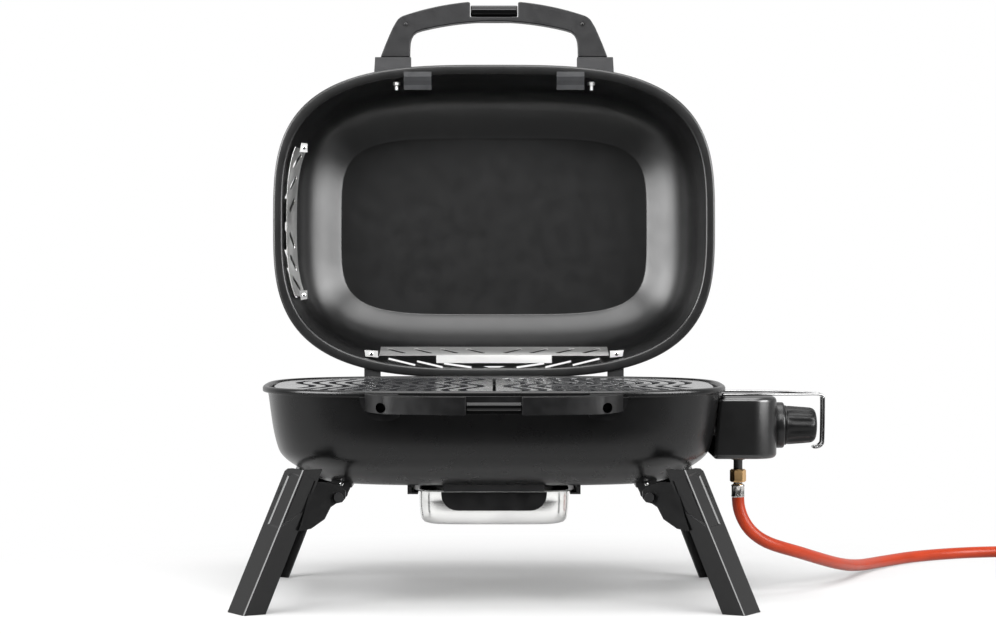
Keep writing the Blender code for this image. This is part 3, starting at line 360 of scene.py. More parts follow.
def add(obj, mat, body, slot, replaces=(), place=GRILL, bevel=0.0, angle=35, segments=3):
    """Carry a piece to its place, give it a material and a body, and let it stand for CAD nodes."""
    if obj.type == "MESH":
        obj.data.transform(place)
        obj.data.shade_smooth()
        if bevel:
            soften(obj, bevel, angle, segments, harden=True)
        else:
            obj.data.set_sharp_from_angle(angle=math.radians(angle))
    else:
        obj.matrix_world = place @ obj.matrix_world
    obj.data.materials.clear()
    obj.data.materials.append(MATS[mat])
    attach(obj, body)
    if replaces:
        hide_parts(*replaces)
    return obj


def keep(node, mat, bevel=0.0):
    """A CAD node that stays in view, with its finished material and softened edges."""
    obj = nodes_by_name[node]
    obj.data.materials.clear()
    obj.data.materials.append(MATS[mat])
    if bevel:
        soften(obj, bevel, 40)


def screw(name, spot, along, radius, body, place=GRILL, mat="polished", cross=True):
    """Domed screw head, with a cross recess unless it is a rivet."""
    high = radius * 0.5
    profile = [(0, radius), (high * 0.35, radius)]
    for a in (0.4, 0.8, 1.1, 1.35, 1.55):
        profile.append((high * (0.35 + 0.65 * math.sin(a)), radius * math.cos(a)))
    head = turned(name, (0, 0, 0), (0, 0, 1), profile, 24)
    if cross:
        arms = []
        for turn in (0, 90):
            bar = prism("arm", "XY", stadium(radius * 1.1, radius * 0.24, 3), high * 0.55, high * 1.5)
            bar.data.transform(Matrix.Rotation(math.radians(turn), 4, "Z"))
            arms.append(bar)
        head = boolean(head, arms)
    head.data.transform(frame_along(spot, along))
    return add(head, mat, body, "polished_steel", place=place)


# ---- camera
camera = bpy.data.cameras.new("camera")
camera.sensor_width = 36
camera.lens = 99.3
camera.shift_x = 0.004
viewer = new_object("camera", camera)
viewer.location = (-0.045, -3.344, 0.413)
viewer.rotation_euler = (math.radians(90 - 1.355), 0, 0)
bpy.context.scene.camera = viewer


# ---- hose
HOSE_RUN = (
    (0.2935, 0.0000, 0.1183), (0.2944, 0.0000, 0.1079), (0.2971, 0.0001, 0.0978),
    (0.3015, 0.0006, 0.0883), (0.3074, 0.0019, 0.0797), (0.3148, 0.0044, 0.0724),
    (0.3240, 0.0084, 0.0659), (0.3353, 0.0144, 0.0602), (0.3500, 0.0245, 0.0546),
    (0.3700, 0.0430, 0.0475), (0.3960, 0.0760, 0.0371), (0.4230, 0.1200, 0.0260),
    (0.4480, 0.1700, 0.0170), (0.4740, 0.2270, 0.0107), (0.5100, 0.2900, 0.0080),
    (0.5620, 0.3500, 0.0077), (0.6320, 0.3940, 0.0077), (0.7080, 0.4120, 0.0077),
)
COIL_X, COIL_Y, COIL_RADIUS = 0.7800, 0.3300, 0.0850
HOSE_TAIL = (
    (0.8657, 0.2765, 0.0180), (0.8670, 0.2600, 0.0155), (0.8674, 0.2450, 0.0141), (0.8674, 0.2353, 0.0140),
)


def make_hose():
    """Free run, one turn and a quarter of coil, clockwise from above, and the tail, as one smooth line."""
    points = list(HOSE_RUN)
    steps, sweep, last_z = 40, 450, 0.0222
    rise_from, rise_over, lift = 235, 120, 0.0153  # where the coil climbs over its own first turn
    for i in range(steps + 1):
        around = sweep * (i / steps)
        angle = math.radians(90 - around)
        rise = min(max((around - rise_from) / rise_over, 0), 1)
        z = last_z if i == steps else HOSE_LIES_Z + lift * rise * rise * (3 - 2 * rise)
        points.append((COIL_X + COIL_RADIUS * math.cos(angle), COIL_Y + COIL_RADIUS * math.sin(angle), z))
    points += HOSE_TAIL
    hose = tube("gas_hose", spline(points, 6), HOSE_RADIUS, 10)
    return add(hose, "hose", "base", "hose_rubber", ("hose_run", "hose_coil", "hose_tail"))


def make_regulator():
    """Domed regulator with its vent cap, screws, hexagonal cylinder nut and hose outlet."""
    x, y = 0.8678, 0.1890
    profile = [(0, 0.0285), (0.0010, 0.0302), (0.0030, 0.0317), (0.0080, 0.0320), (0.0086, 0.0312)]
    profile += [(0.0098, 0.0312), (0.0104, 0.0320), (0.0150, 0.0318), (0.0172, 0.0308), (0.0190, 0.0290)]
    profile += [(0.0205, 0.0250), (0.0225, 0.0236), (0.0300, 0.0222), (0.0330, 0.0208), (0.0352, 0.0186)]
    profile += [(0.0372, 0.0150), (0.0380, 0.0120), (0.0382, 0.0070), (0.0388, 0.0066), (0.0388, 0.0001)]
    body = turned("regulator_body", (x, y, 0.0002), (0, 0, 1), profile, 72)
    add(body, "steel", "base", "brass", ("regulator",))
    outlet_line = [(0, 0.0110), (0.0080, 0.0110), (0.0085, 0.0082), (0.0140, 0.0082)]
    outlet_line += [(0.0146, 0.0078), (0.0155, 0.0082)]
    outlet = turned("regulator_outlet", (x, y + 0.0300, 0.0140), (0, 1, 0), outlet_line, 40)
    add(outlet, "brass", "base", "brass")
    nut_line = [(0, 0.0095), (0.0015, 0.0135), (0.0225, 0.0135), (0.0245, 0.0115)]
    nut = turned("regulator_nut", (x, y - 0.0310, 0.0140), (0, -1, 0), nut_line, 6)
    add(nut, "brass", "base", "brass", bevel=0.0006)
    neck = turned("regulator_neck", (x, y - 0.0290, 0.0140), (0, -1, 0), [(0, 0.0088), (0.0040, 0.0088)], 32)
    add(neck, "brass", "base", "brass")
    extras = [outlet, nut, neck]
    for i in range(4):
        angle = math.radians(45 + 90 * i)
        spot = (x + 0.0272 * math.cos(angle), y + 0.0272 * math.sin(angle), 0.0188)
        extras.append(screw(f"regulator_screw_{i}", spot, (0, 0, 1), 0.0026, "base"))
    return [body, *extras]


hose = make_hose()
hose_pieces = make_regulator()


# ---- bowl
def smooth_pairs(pairs, per_piece=4):
    return [(p.x, p.y) for p in spline([(a, b, 0) for a, b in pairs], per_piece)]


def make_bowl():
    """Deep oval bowl with a rolled lip, lofted round its whole section, inside and out."""
    inner = smooth_pairs([
        (0.1700, 0.1440), (0.1995, 0.1447), (0.2200, 0.1530), (0.2360, 0.1630), (0.2465, 0.1710),
        (0.2530, 0.1790), (0.2569, 0.1900), (0.2595, 0.2010), (0.2617, 0.2140), (0.2655, 0.2440),
        (0.2668, 0.2515),
    ])
    outer = smooth_pairs([
        (0.1700, 0.1416), (0.2000, 0.1422), (0.2216, 0.1508), (0.2378, 0.1610), (0.2487, 0.1692),
        (0.2554, 0.1776), (0.2594, 0.1894), (0.2620, 0.2005), (0.2642, 0.2137), (0.2677, 0.2400),
        (0.2688, 0.2478),
    ])
    lip = [(0.2673, 0.2535), (0.2682, 0.2548), (0.2697, 0.2555), (0.2715, 0.2555), (0.2732, 0.2553)]
    lip += [(0.2744, 0.2544), (0.2750, 0.2530), (0.2750, 0.2500), (0.2747, 0.2491), (0.2739, 0.2487)]
    lip += [(0.2729, 0.2489), (0.2725, 0.2496), (0.2722, 0.2503), (0.2710, 0.2503), (0.2697, 0.2496)]
    rings = [oval(a, a - BOWL_LONGER, z) for a, z in [*inner, *lip, *reversed(outer)]]
    under = [oval(0.1000, 0.0620, 0.1412, 2.6), oval(0.0120, 0.0120, 0.1407, 2)]
    above = [oval(0.0120, 0.0120, 0.1430, 2), oval(0.1000, 0.0620, 0.1436, 2.6)]
    bowl = loft("bowl_shell", [*rings, *under, *above], loop=True)
    holes = [
        turned("burner_hole", (0.2400, 0, KNOB_Z), (1, 0, 0), [(0, 0.0140), (0.05, 0.0140)], 32),
        turned("spark_hole", (0.2400, 0.03, 0.2150), (1, 0, 0), [(0, 0.0040), (0.05, 0.0040)], 20),
    ]
    bowl = boolean(bowl, holes)
    add(bowl, "black_coat", "base", "black_coat", ("bowl",), angle=45)


# ---- lid
def shorter(height):
    """How much more the lid's front and rear close in than its ends, near the crease round its flat top."""
    return 0.0034 * min(max((height - 0.0900) / 0.0450, 0), 1)


def vent_outlines():
    """Slanted slots in the rear and left walls, as seen along the lid's depth."""
    rear = (
        (0.1372, 0.1763, 0.1013, 0.1849), (0.1003, 0.1797, 0.0660, 0.1876), (0.0651, 0.1826, 0.0290, 0.1878),
    )
    left = ((-0.2560, 0.0944, -0.2666, 0.0560), (-0.2600, 0.0690, -0.2694, 0.0330))
    half, shift = 0.0012, 0.0030
    bands = []
    for side in (-1, 1):
        for x, y, x_end, y_end in rear:
            x, x_end = side * x, side * x_end
            bands.append([(x, y - half), (x_end, y_end - half), (x_end, y_end + half), (x, y + half)])
        for x, y, x_end, y_end in left:
            y, y_end = side * y + shift, side * y_end + shift
            bands.append([(x - half, y), (x + half, y), (x_end + half, y_end), (x_end - half, y_end)])
    bands.append([(-0.0142, 0.1862), (0.0142, 0.1862), (0.0070, 0.1880), (-0.0070, 0.1880)])
    bands.append([(-0.2682, -0.0040), (-0.2700, 0.0010), (-0.2700, 0.0100), (-0.2682, 0.0150)])
    return bands


def make_lid():
    """Lid shell with its flat flange, rounded shoulder, flat top and vents."""
    inner = [
        (0.2715, 0.0030, 3.2), (0.2695, 0.0150, 3.2), (0.2670, 0.0300, 3.2), (0.2645, 0.0450, 3.25),
        (0.2624, 0.0620, 3.3), (0.2598, 0.0780, 3.4), (0.2560, 0.0915, 3.5), (0.2502, 0.1030, 3.7),
        (0.2430, 0.1114, 3.9), (0.2335, 0.1190, 4.1), (0.2225, 0.1257, 4.3), (0.2040, 0.1346, 4.6),
    ]
    curve = spline(inner, 5) + [Vector((0.2034, 0.1350, 4.6))]
    outer = []
    for i, p in enumerate(curve):
        q, r = curve[max(i - 1, 0)], curve[min(i + 1, len(curve) - 1)]
        normal = Vector((r.y - q.y, q.x - r.x)).normalized() * 0.0025
        outer.append((p.x + normal.x, p.y + normal.y, p.z))
    flange = [(0.2720, 0.0014), (0.2729, 0.0004), (0.2742, 0.0000), (0.2812, 0.0000), (0.2828, 0.0003)]
    flange += [(0.2836, 0.0010), (0.2838, 0.0019), (0.2834, 0.0028), (0.2826, 0.0033), (0.2812, 0.0031)]
    flange += [(0.2775, 0.0025), (0.2757, 0.0026), (0.2746, 0.0034)]
    rings = [oval(p.x, p.x - LID_LONGER - shorter(p.y), LID_Z + p.y, p.z) for p in reversed(curve)]
    rings += [oval(a, a - LID_LONGER, LID_Z + h) for a, h in flange]
    rings += [oval(a, a - LID_LONGER - shorter(h), LID_Z + h, power) for a, h, power in outer]
    top = [(0.2022, 0.1162, 4.6), (0.1500, 0.0750, 3.6), (0.0900, 0.0420, 3.0), (0.0300, 0.0140, 2.4)]
    crown = [oval(a, b, LID_Z + 0.1375, power) for a, b, power in top]
    ceiling = [oval(a, b, LID_Z + 0.1350, power) for a, b, power in reversed(top)]
    lid = loft("lid_dome", [*ceiling, *rings, *crown], caps=True)
    cutters = [prism("vent", "XY", line, LID_Z + 0.0010, LID_Z + 0.0800) for line in vent_outlines()]
    add(boolean(lid, cutters), "lid_coat", "lid", "black_coat", ("lid_shell",), place=LID, angle=42)


# ---- handles
def arc_through(edge_u, edge_v, crown_v, steps):
    rise = crown_v - edge_v
    radius = (edge_u**2 + rise**2) / (2 * rise)
    line = []
    for i in range(steps + 1):
        u = edge_u * i / steps
        line.append((u, crown_v - radius + math.sqrt(radius**2 - u**2)))
    return line


def handle_outline(foot_v):
    """Arched grip seen from above, with the notch for the latch in its crown and an eased inner corner."""
    outer = [p for p in arc_through(0.1174, 0.0656, 0.0852, 24) if p[0] > 0.0330]
    outer = [(0.0310, 0.0642), (0.0310, 0.0822), (0.0318, 0.0834), *outer]
    outer += [(0.1205, 0.0638), (0.1230, 0.0618), (0.1250, 0.0594), (0.1300, 0.0510), (0.1345, 0.0410)]
    outer += [(0.1400, 0.0280), (0.1460, foot_v)]
    inner = [(0.1082, foot_v), (0.1079, 0.0260), (0.1074, 0.0320), (0.1060, 0.0375), (0.1035, 0.0418)]
    inner += [(0.0995, 0.0450), *reversed(arc_through(0.0933, 0.0471, 0.0587, 16))]
    half = outer + inner
    left = [(-u, v) for u, v in reversed(half) if u > 0]
    return [(u, -0.1990 - v) for u, v in half + left]


def make_bracket(word):
    """Handle bracket with a raised border round its face."""
    bracket_node = "handle_bracket_" + word
    node = nodes_by_name[bracket_node]
    mesh = node.data.copy()
    mesh.transform(node.matrix_world)
    work = bmesh.new()
    work.from_mesh(mesh)
    bmesh.ops.dissolve_limit(work, angle_limit=0.01, verts=work.verts, edges=work.edges)
    front = max((f for f in work.faces if f.normal.y < -0.95), key=lambda f: f.calc_area())
    bmesh.ops.inset_individual(work, faces=[front], thickness=0.0020, use_even_offset=True)
    bmesh.ops.inset_individual(work, faces=[front], thickness=0.0006, depth=-0.0016, use_even_offset=True)
    work.to_mesh(mesh)
    work.free()
    bracket = new_object("handle_bracket_face_" + word, mesh)
    replaced = (bracket_node,)
    add(bracket, "black_plastic", "base", "grey_plastic", replaced, place=Matrix(), bevel=0.0005, segments=2)


def make_handles():
    """Front handle with its rod sockets, lid handle with its screws, and the bright bar for the latch."""
    front = prism("front_grip", "XY", handle_outline(0.0040), 0.2335, 0.2532)
    bore = [(0, 0.0058), (0.0750, 0.0058)]
    bores = [turned("bore", (side * 0.1260, -0.3000, 0.2400), (0, 1, 0), bore, 32) for side in (-1, 1)]
    front = boolean(front, bores)
    add(front, "grip_plastic", "base", "grey_plastic", ("front_handle",), bevel=0.0026, angle=50, segments=4)
    for side, word in LEFT_RIGHT:
        make_bracket(word)
        keep("lid_handle_foot_" + word, "foot_plastic", 0.0022)
        line = [(0, 0.0054), (0.0012, 0.0054), (0.0014, 0.0048), (0.0018, 0.0030), (0.0018, 0.0001)]
        plug = turned("handle_socket_" + word, (side * 0.1260, -0.2300, 0.2400), (0, -1, 0), line, 32)
        add(plug, "black_plastic", "base", "grey_plastic")
    upper = prism("lid_grip", "XY", handle_outline(0.0125), 0.2622, 0.2802)
    edges = {"bevel": 0.0026, "angle": 50, "segments": 4}
    add(upper, "grey_plastic", "lid", "grey_plastic", ("lid_handle",), place=LID, **edges)
    for side, word in LEFT_RIGHT:
        spot = (side * 0.1135, -0.2540, 0.2621)
        screw("lid_grip_screw_" + word, spot, (0, 0, -1), 0.0022, "lid", LID, "black_steel")
        # Painted shadow: a black disc a tenth of a millimetre thick and wider than the screw head stands for
        # the shade round each screw.
        shadow = turned("lid_grip_screw_painted_shadow_" + word, spot, (0, 0, -1), [(0, 0.0034), (0.0001, 0.0034)], 24)
        add(shadow, "black_plastic", "lid", "black_plastic", place=LID)
    # Painted shade: the bar is polished steel, but it is given gloss black so that it shows the dark
    # reflections of a chrome bar.
    rod = [(0, 0.0040), (0.0008, 0.0048), (0.0606, 0.0048), (0.0614, 0.0040)]
    bar = turned("grip_bar", (-0.0307, -0.2710, 0.2424), (1, 0, 0), rod, 40)
    add(bar, "gloss_black", "base", "polished_steel", ("grip_rod",))


def make_latch():
    """Glossy roller and the curved hook that swings under the bar."""
    roller_y, roller_z = -0.2714, 0.2700
    arm_turn = math.radians(76.5)
    line = [(0, 0.0062), (0.0010, 0.0073), (0.0594, 0.0073), (0.0604, 0.0062)]
    roller = turned("latch_roller", (-0.0302, roller_y, roller_z), (1, 0, 0), line, 48)
    hook = []
    for radius, order in ((0.0370, range(13)), (0.0345, reversed(range(13)))):
        for i in order:
            angle = arm_turn + math.radians(23) * i / 12
            hook.append((roller_y + radius * math.cos(angle), roller_z + radius * math.sin(angle)))
    along = Vector((math.cos(arm_turn), math.sin(arm_turn)))
    across = Vector((along.y, -along.x)) * 0.0024
    start, end = Vector((roller_y, roller_z)) + along * 0.0040, Vector((roller_y, roller_z)) + along * 0.0370
    arm = [tuple(start), tuple(end), tuple(end + across), tuple(start + across)]
    lip = prism("hook", "YZ", hook, -0.0240, 0.0240)
    stem = prism("arm", "YZ", arm, -0.0236, 0.0236)
    part = boolean(boolean(roller, [stem], "UNION"), [lip], "UNION")
    add(part, "gloss_black", "latch", "black_plastic", ("latch",), place=LID, bevel=0.0006, angle=40)


def make_lid_fittings():
    for word in ("left", "right"):
        keep("lid_rest_pad_" + word, "pad_plastic", 0.0007)
        keep("lid_fixing_nut_" + word, "steel", 0.0005)
        keep("lid_hinge_leaf_" + word, "black_steel", 0.0006)
        keep("hinge_bracket_" + word, "black_steel", 0.0008)
        keep("hinge_pin_" + word, "polished", 0.0004)


# ---- baffles
def make_rear_baffle():
    """Bright folded sheet over the rear vents, with slanted slots and a tab."""
    front, back = Vector((0.1724, LID_Z + 0.0110)), Vector((0.1614, LID_Z + 0.0601))
    half, tab_half = 0.1475, 0.0742
    along = (back - front).normalized()
    side_way = Vector((-along.y, along.x)) * SHEET / 2
    line = [front - side_way, back - side_way, back + side_way, front + side_way]
    panel = prism("rear_baffle_sheet", "YZ", [tuple(p) for p in line], -half, half)
    tab_line = [(front.x - 0.0005, front.y - 0.0005), (0.1822, front.y - 0.0005)]
    tab_line += [(0.1822, front.y + 0.0005), (front.x - 0.0005, front.y + 0.0005)]
    panel = boolean(panel, [prism("tab", "YZ", tab_line, -tab_half, tab_half)], "UNION")
    middle = (front + back) / 2
    lean = Matrix.Rotation(math.atan2(front.x - back.x, back.y - front.y), 4, "X")
    cutters = []
    for side in (-1, 1):
        for x in (0.0240, 0.0580, 0.0920, 0.1260):
            turn = lean @ Matrix.Rotation(-side * math.radians(48), 4, "Y") @ UPRIGHT
            spot = Matrix.Translation((side * x, middle.x, middle.y))
            cutters.append(slot_cutter(0.0350, 0.0075, 0.02, spot @ turn))
    panel = boolean(panel, cutters)
    add(panel, "steel", "lid", "stainless", ("rear_baffle",), place=LID, bevel=0.0002, angle=60, segments=1)


def make_left_baffle():
    """Bright curved sheet that follows the lid's left wall, with slanted slots."""
    rows = ((0.2668, LID_Z + 0.0094), (0.2665, LID_Z + 0.0110), (0.2578, LID_Z + 0.0602))
    reach, columns = 0.0960, 40
    points, faces = [], []
    for half_x, z in rows:
        half_y = half_x - LID_LONGER
        for i in range(columns + 1):
            y = -reach + 2 * reach * i / columns
            x = half_x * (1 - abs(y / half_y) ** OVAL) ** (1 / OVAL)
            points.append((-x, y, z))
    for r in range(len(rows) - 1):
        for i in range(columns):
            a = r * (columns + 1) + i
            faces.append((a, a + 1, a + columns + 2, a + columns + 1))
    curved = from_faces("left_baffle_sheet", points, faces)
    step = curved.modifiers.new("Solidify", "SOLIDIFY")
    step.thickness = SHEET
    step.offset = 0
    curved = baked(curved)
    sideways = Matrix.Rotation(math.radians(90), 4, "Z")
    cutters = []
    for side in (-1, 1):
        for y in (0.0230, 0.0520, 0.0800):
            turn = Matrix.Rotation(side * math.radians(55), 4, "X") @ sideways @ UPRIGHT
            spot = Matrix.Translation((-0.2580, side * y, LID_Z + 0.0355))
            cutters.append(slot_cutter(0.0320, 0.0070, 0.04, spot @ turn))
    curved = boolean(curved, cutters)
    add(curved, "steel", "lid", "stainless", ("left_baffle",), place=LID, angle=40)


def make_clip(node, plate, edge, low):
    """Angle clip that stands for a CAD node: a flat plate with one upright edge."""
    clip = prism("clip_plate", "XY", plate, low, low + 0.0012)
    clip = boolean(clip, [prism("clip_edge", "XY", edge, low, LID_Z + 0.0190)], "UNION")
    add(clip, "steel", "lid", "stainless", (node,), place=LID, bevel=0.0003, segments=1)


def make_baffle_clips():
    for side, word in FRONT_REAR:
        near, far = side * 0.0890, side * 0.1010
        plate = [(-0.2500, near), (-0.2400, near), (-0.2400, side * 0.1000), (-0.2480, far)]
        edge = [(-0.2500, near), (-0.2488, near), (-0.2468, far), (-0.2480, far)]
        make_clip("left_baffle_clip_" + word, plate, edge, LID_Z + 0.0066)
    for side, word in LEFT_RIGHT:
        near, far = side * 0.1490, side * 0.1650
        plate = [(near, 0.1666), (side * 0.1665, 0.1656), (far, 0.1738), (near, 0.1752)]
        edge = [(near, 0.1740), (far, 0.1726), (far, 0.1738), (near, 0.1752)]
        make_clip("rear_baffle_clip_" + word, plate, edge, LID_Z + 0.0060)
        rear, left = (side * 0.1575, 0.1702, LID_Z + 0.0061), (-0.2442, side * 0.0948, LID_Z + 0.0067)
        screw("rear_clip_screw_" + word, rear, (0, 0, -1), 0.0028, "lid", LID)
        screw("left_clip_screw_" + word, left, (0, 0, -1), 0.0026, "lid", LID)


# ---- grids
def oval_reach(half_x, half_y, x):
    """Half the depth of an oval at a distance from its centre."""
    return half_y * (1 - min(abs(x / half_x), 1) ** OVAL) ** (1 / OVAL)


def make_grid(side, word):
    """Half of the cast cooking surface: wavy bars with rounded tops inside a border."""
    half_x, half_y, border = 0.2615, 0.1790, 0.0075
    seam, pitch, slot, swing, period = 0.0015, 0.0200, 0.0092, 0.0110, 0.1760
    top = oval_reach(half_x, half_y, seam)
    edge = [(x, y) for x, y, _ in oval(half_x, half_y, 0) if x > 0.004]
    edge.sort(key=lambda p: math.atan2(p[1], p[0]))
    outline = [(seam, -top), *edge, (seam, top)]
    slots = []
    for k in range(12):
        middle = seam + border + slot / 2 + swing + 0.0015 + k * pitch
        widest = middle + swing + slot / 2
        if widest > half_x - border - 0.004:
            break
        reach = oval_reach(half_x - border, half_y - border, widest) - 0.002
        steps = max(6, round(2 * reach / 0.0050))
        line = []
        for i in range(steps + 1):
            y = -reach + 2 * reach * i / steps
            line.append((middle + swing * math.sin(2 * math.pi * y / period), y))
        slots.append([(x - slot / 2, y) for x, y in line] + [(x + slot / 2, y) for x, y in reversed(line)])
    outline = [(side * x, y) for x, y in outline]
    slots = [[(side * x, y) for x, y in one] for one in slots]
    grid = prism(f"cooking_grid_{word}", "XY", outline, 0.2460, 0.2540, slots)
    add(grid, "enamel", "grid_" + word, "cast_enamel", ("grid_" + word,), bevel=0.0018, angle=50)


# ---- legs
LEG_FOOT = {"inner": (0.2602, -0.1780), "ridge": (0.2844, -0.1925), "outer": (0.3058, -0.1575)}
LEG_HEAD = {"inner": (0.1960, -0.1640), "ridge": (0.2172, -0.1800), "outer": (0.2395, -0.1440)}
LEG_TOP = 0.1650
LEG_WALL = 0.0030
# corners of the sunk panels: share of the way from the ridge to the other line, and height
OUTER_PANEL = [(0.10, 0.0990), (0.10, 0.1590), (0.56, 0.1612), (0.72, 0.1570), (0.74, 0.1010)]
INNER_PANEL = [(0.09, 0.1000), (0.09, 0.1600), (0.90, 0.1520), (0.92, 0.1200), (0.84, 0.1145)]
LUG = [
    (0.1745, 0.1440), (0.1708, 0.1380), (0.1708, 0.1300), (0.1745, 0.1257), (0.1810, 0.1245),
    (0.1872, 0.1205), (0.1940, 0.1070), (0.2090, 0.0968), (0.2230, 0.0945), (0.2175, 0.1120),
    (0.2110, 0.1380), (0.2070, 0.1500), (0.1900, 0.1490),
]


def leg_spot(line, z):
    """Point of one of the three lines that a post follows, at one height."""
    x, y = Vector(LEG_FOOT[line]).lerp(Vector(LEG_HEAD[line]), z / LEG_TOP)
    return Vector((x, y, z))


def post_section(z):
    """Angle section of a post at one height, its wall laid inside the ridge."""
    outer, ridge, inner = (leg_spot(line, z) for line in ("outer", "ridge", "inner"))
    ways = []
    for end, other in ((outer, inner), (inner, outer)):
        along = (end - ridge).normalized()
        way = Vector((-along.y, along.x, 0))
        if way.dot(other - ridge) < 0:
            way = -way
        ways.append(way)
    facet = [ridge + (outer - ridge).normalized() * 0.0016, ridge + (inner - ridge).normalized() * 0.0009]
    corner = ridge + (ways[0] + ways[1]) * LEG_WALL / (1 + ways[0].dot(ways[1]))
    return [outer, *facet, inner, inner + ways[1] * LEG_WALL, corner, outer + ways[0] * LEG_WALL]


def inset(spots, amount):
    """A closed flat outline moved inwards by an equal amount all round, outwards if negative."""
    moved = []
    for i, spot in enumerate(spots):
        back = (spots[i - 1] - spot).normalized()
        on = (spots[(i + 1) % len(spots)] - spot).normalized()
        moved.append(spot + (back + on) * amount / max(back.cross(on).length, 0.2))
    return moved


def panel_cutter(line, corners, depth=0.0012):
    """Shallow pocket with sloping sides in the face between a post's ridge and its inner or outer line."""
    spots = [leg_spot("ridge", z).lerp(leg_spot(line, z), share) for share, z in corners]
    normal = (spots[1] - spots[0]).cross(spots[-1] - spots[0]).normalized()
    facing = Vector((0.3, -1, 0)) if line == "inner" else Vector((1, -1, 0))
    if normal.dot(facing) < 0:
        normal = -normal
    slope = 0.0018
    floor = [spot - normal * depth for spot in inset(spots, slope)]
    above = [spot + normal * depth for spot in inset(spots, -slope)]
    return outward(loft("panel", [floor, above], caps=True))


def make_post():
    post = outward(loft("post", [post_section(0), post_section(LEG_TOP)], caps=True))
    corner = [(0.2445, 0.1540), (0.2425, 0.1600), (0.2375, 0.1640), (0.2310, 0.1651)]
    corner += [(0.2310, 0.1800), (0.2600, 0.1800), (0.2600, 0.1540)]
    cutters = [prism("corner_cut", "XZ", corner, -0.22, -0.12)]
    cutters += [panel_cutter("outer", OUTER_PANEL), panel_cutter("inner", INNER_PANEL)]
    post = boolean(post, cutters)
    lug = prism("lug", "XZ", LUG, 0, 0.0040)
    for vert in lug.data.vertices:
        vert.co.y += -0.1515 - 0.48 * (vert.co.x - 0.1760)
    return boolean(post, [outward(lug)], "UNION")


def make_leg_frame(side, word):
    """Two angle posts with sunk panels at their heads, the arched beam between them, and the pivot lugs."""
    low = [(-0.1530 + 0.0153 * i, 0.1000 + 0.0140 * math.sin(math.pi * i / 20)) for i in range(21)]
    beam = prism("beam", "YZ", [*low, (0.1530, 0.1450), (-0.1530, 0.1450)], 0, LEG_WALL)
    for vert in beam.data.vertices:
        vert.co.x += leg_spot("outer", vert.co.z).x - 0.0065
    leg, back = make_post(), make_post()
    back.data.transform(Matrix.Diagonal((1, -1, 1, 1)))
    pin_hole = turned("pin_hole", (0.1780, -0.2, 0.1320), (0, 1, 0), [(0, 0.0033), (0.4, 0.0033)], 24)
    leg = boolean(boolean(leg, [outward(back), outward(beam)], "UNION"), [pin_hole])
    leg.name = f"{word}_leg_shell"
    if side < 0:
        leg.data.transform(Matrix.Diagonal((-1, 1, 1, 1)))
        leg.data.flip_normals()
    replaced = (f"{word}_leg_frame",)
    add(leg, "leg_plastic", f"{word}_leg", "leg_plastic", replaced, bevel=0.0005, angle=22, segments=2)
    keep("leg_bracket_" + word, "black_steel", 0.0010)
    keep("leg_pivot_rod_" + word, "black_steel", 0.0004)


# ---- grease tray
def make_tray():
    """Bright pressed pan with a rolled rim, its grip tab, the rails and the drain chute over it."""
    section = [(0.0950, 0.1045, 0.1343, 7), (0.0950, 0.1045, 0.1337, 7), (0.0902, 0.0985, 0.1336, 7)]
    section += [(0.0893, 0.0976, 0.1330, 7), (0.0889, 0.0970, 0.1318, 7), (0.0886, 0.0966, 0.1210, 7)]
    section += [(0.0882, 0.0960, 0.1110, 7), (0.0876, 0.0952, 0.1040, 6.8), (0.0864, 0.0938, 0.0988, 6.5)]
    section += [(0.0840, 0.0912, 0.0954, 6), (0.0805, 0.0875, 0.0940, 5.6), (0.0745, 0.0810, 0.0937, 5.2)]
    section += [(0.0200, 0.0240, 0.0936, 3)]
    outer = [oval(a, b, z, p, 128) for a, b, z, p in section]
    inner = [oval(a - 0.0008, b - 0.0008, z + 0.0008, p, 128) for a, b, z, p in reversed(section[3:])]
    rim = [oval(0.0898, 0.0981, 0.1343, 7, 128)]
    pan = loft("grease_pan", [*inner, *rim, *outer], caps=True)
    add(pan, "pan_steel", "tray", "polished_steel", ("drip_pan",), angle=50)
    keep("drip_pan_tab", "black_plastic", 0.0010)
    keep("tray_rail_left", "black_steel", 0.0005)
    keep("tray_rail_right", "black_steel", 0.0005)
    keep("drain_chute", "black_steel", 0.0008)


# ---- valve box, knob
def make_control_box():
    """Rounded plastic housing for the valve, hollow and open towards the bowl."""
    corner, half_y, low, high, wall = 0.0300, 0.0600, 0.1680, 0.2415, 0.0030
    x, y = BOX_FACE_X - corner, half_y - corner
    rounded = [*arc((x, -y), corner, -90, 0, 20), *arc((x, y), corner, 0, 90, 20)]
    body = prism("valve_housing", "XY", [(0.2300, -half_y), *rounded, (0.2300, half_y)], low, high)
    slope = [(0.2575, low - 0.01), (0.2655, high + 0.01), (0.40, high + 0.01), (0.40, low - 0.01)]
    body = boolean(body, [prism("slope", "XZ", slope, -0.1, 0.1)], "INTERSECT")
    soften(body, 0.0060, 60, 8)
    body = baked(body)
    rounded = [*arc((x, -y), corner - wall, -90, 0, 12), *arc((x, y), corner - wall, 0, 90, 12)]
    inside = [(0.22, wall - half_y), *rounded, (0.22, half_y - wall)]
    cutters = [
        prism("hollow", "XY", inside, low + wall, high - wall - 0.0015),
        turned("inlet_hole", (INLET_X, 0, 0.1550), (0, 0, 1), [(0, 0.0060), (0.02, 0.0060)], 32),
        turned("stem_hole", (0.3200, 0, KNOB_Z), (1, 0, 0), [(0, 0.0080), (0.03, 0.0080)], 32),
    ]
    bowl_line = [(0.2690, 0.26), (0.2680, 0.2440), (0.2645, 0.2140), (0.2598, 0.1900), (0.2557, 0.1766)]
    bowl_line += [(0.2420, 0.1640)]
    bowl_form = loft("bowl_form", [oval(a, a - BOWL_LONGER, z) for a, z in bowl_line], caps=True)
    body = boolean(body, [*cutters, bowl_form])
    add(body, "box_plastic", "base", "black_plastic", ("control_box",), angle=30)


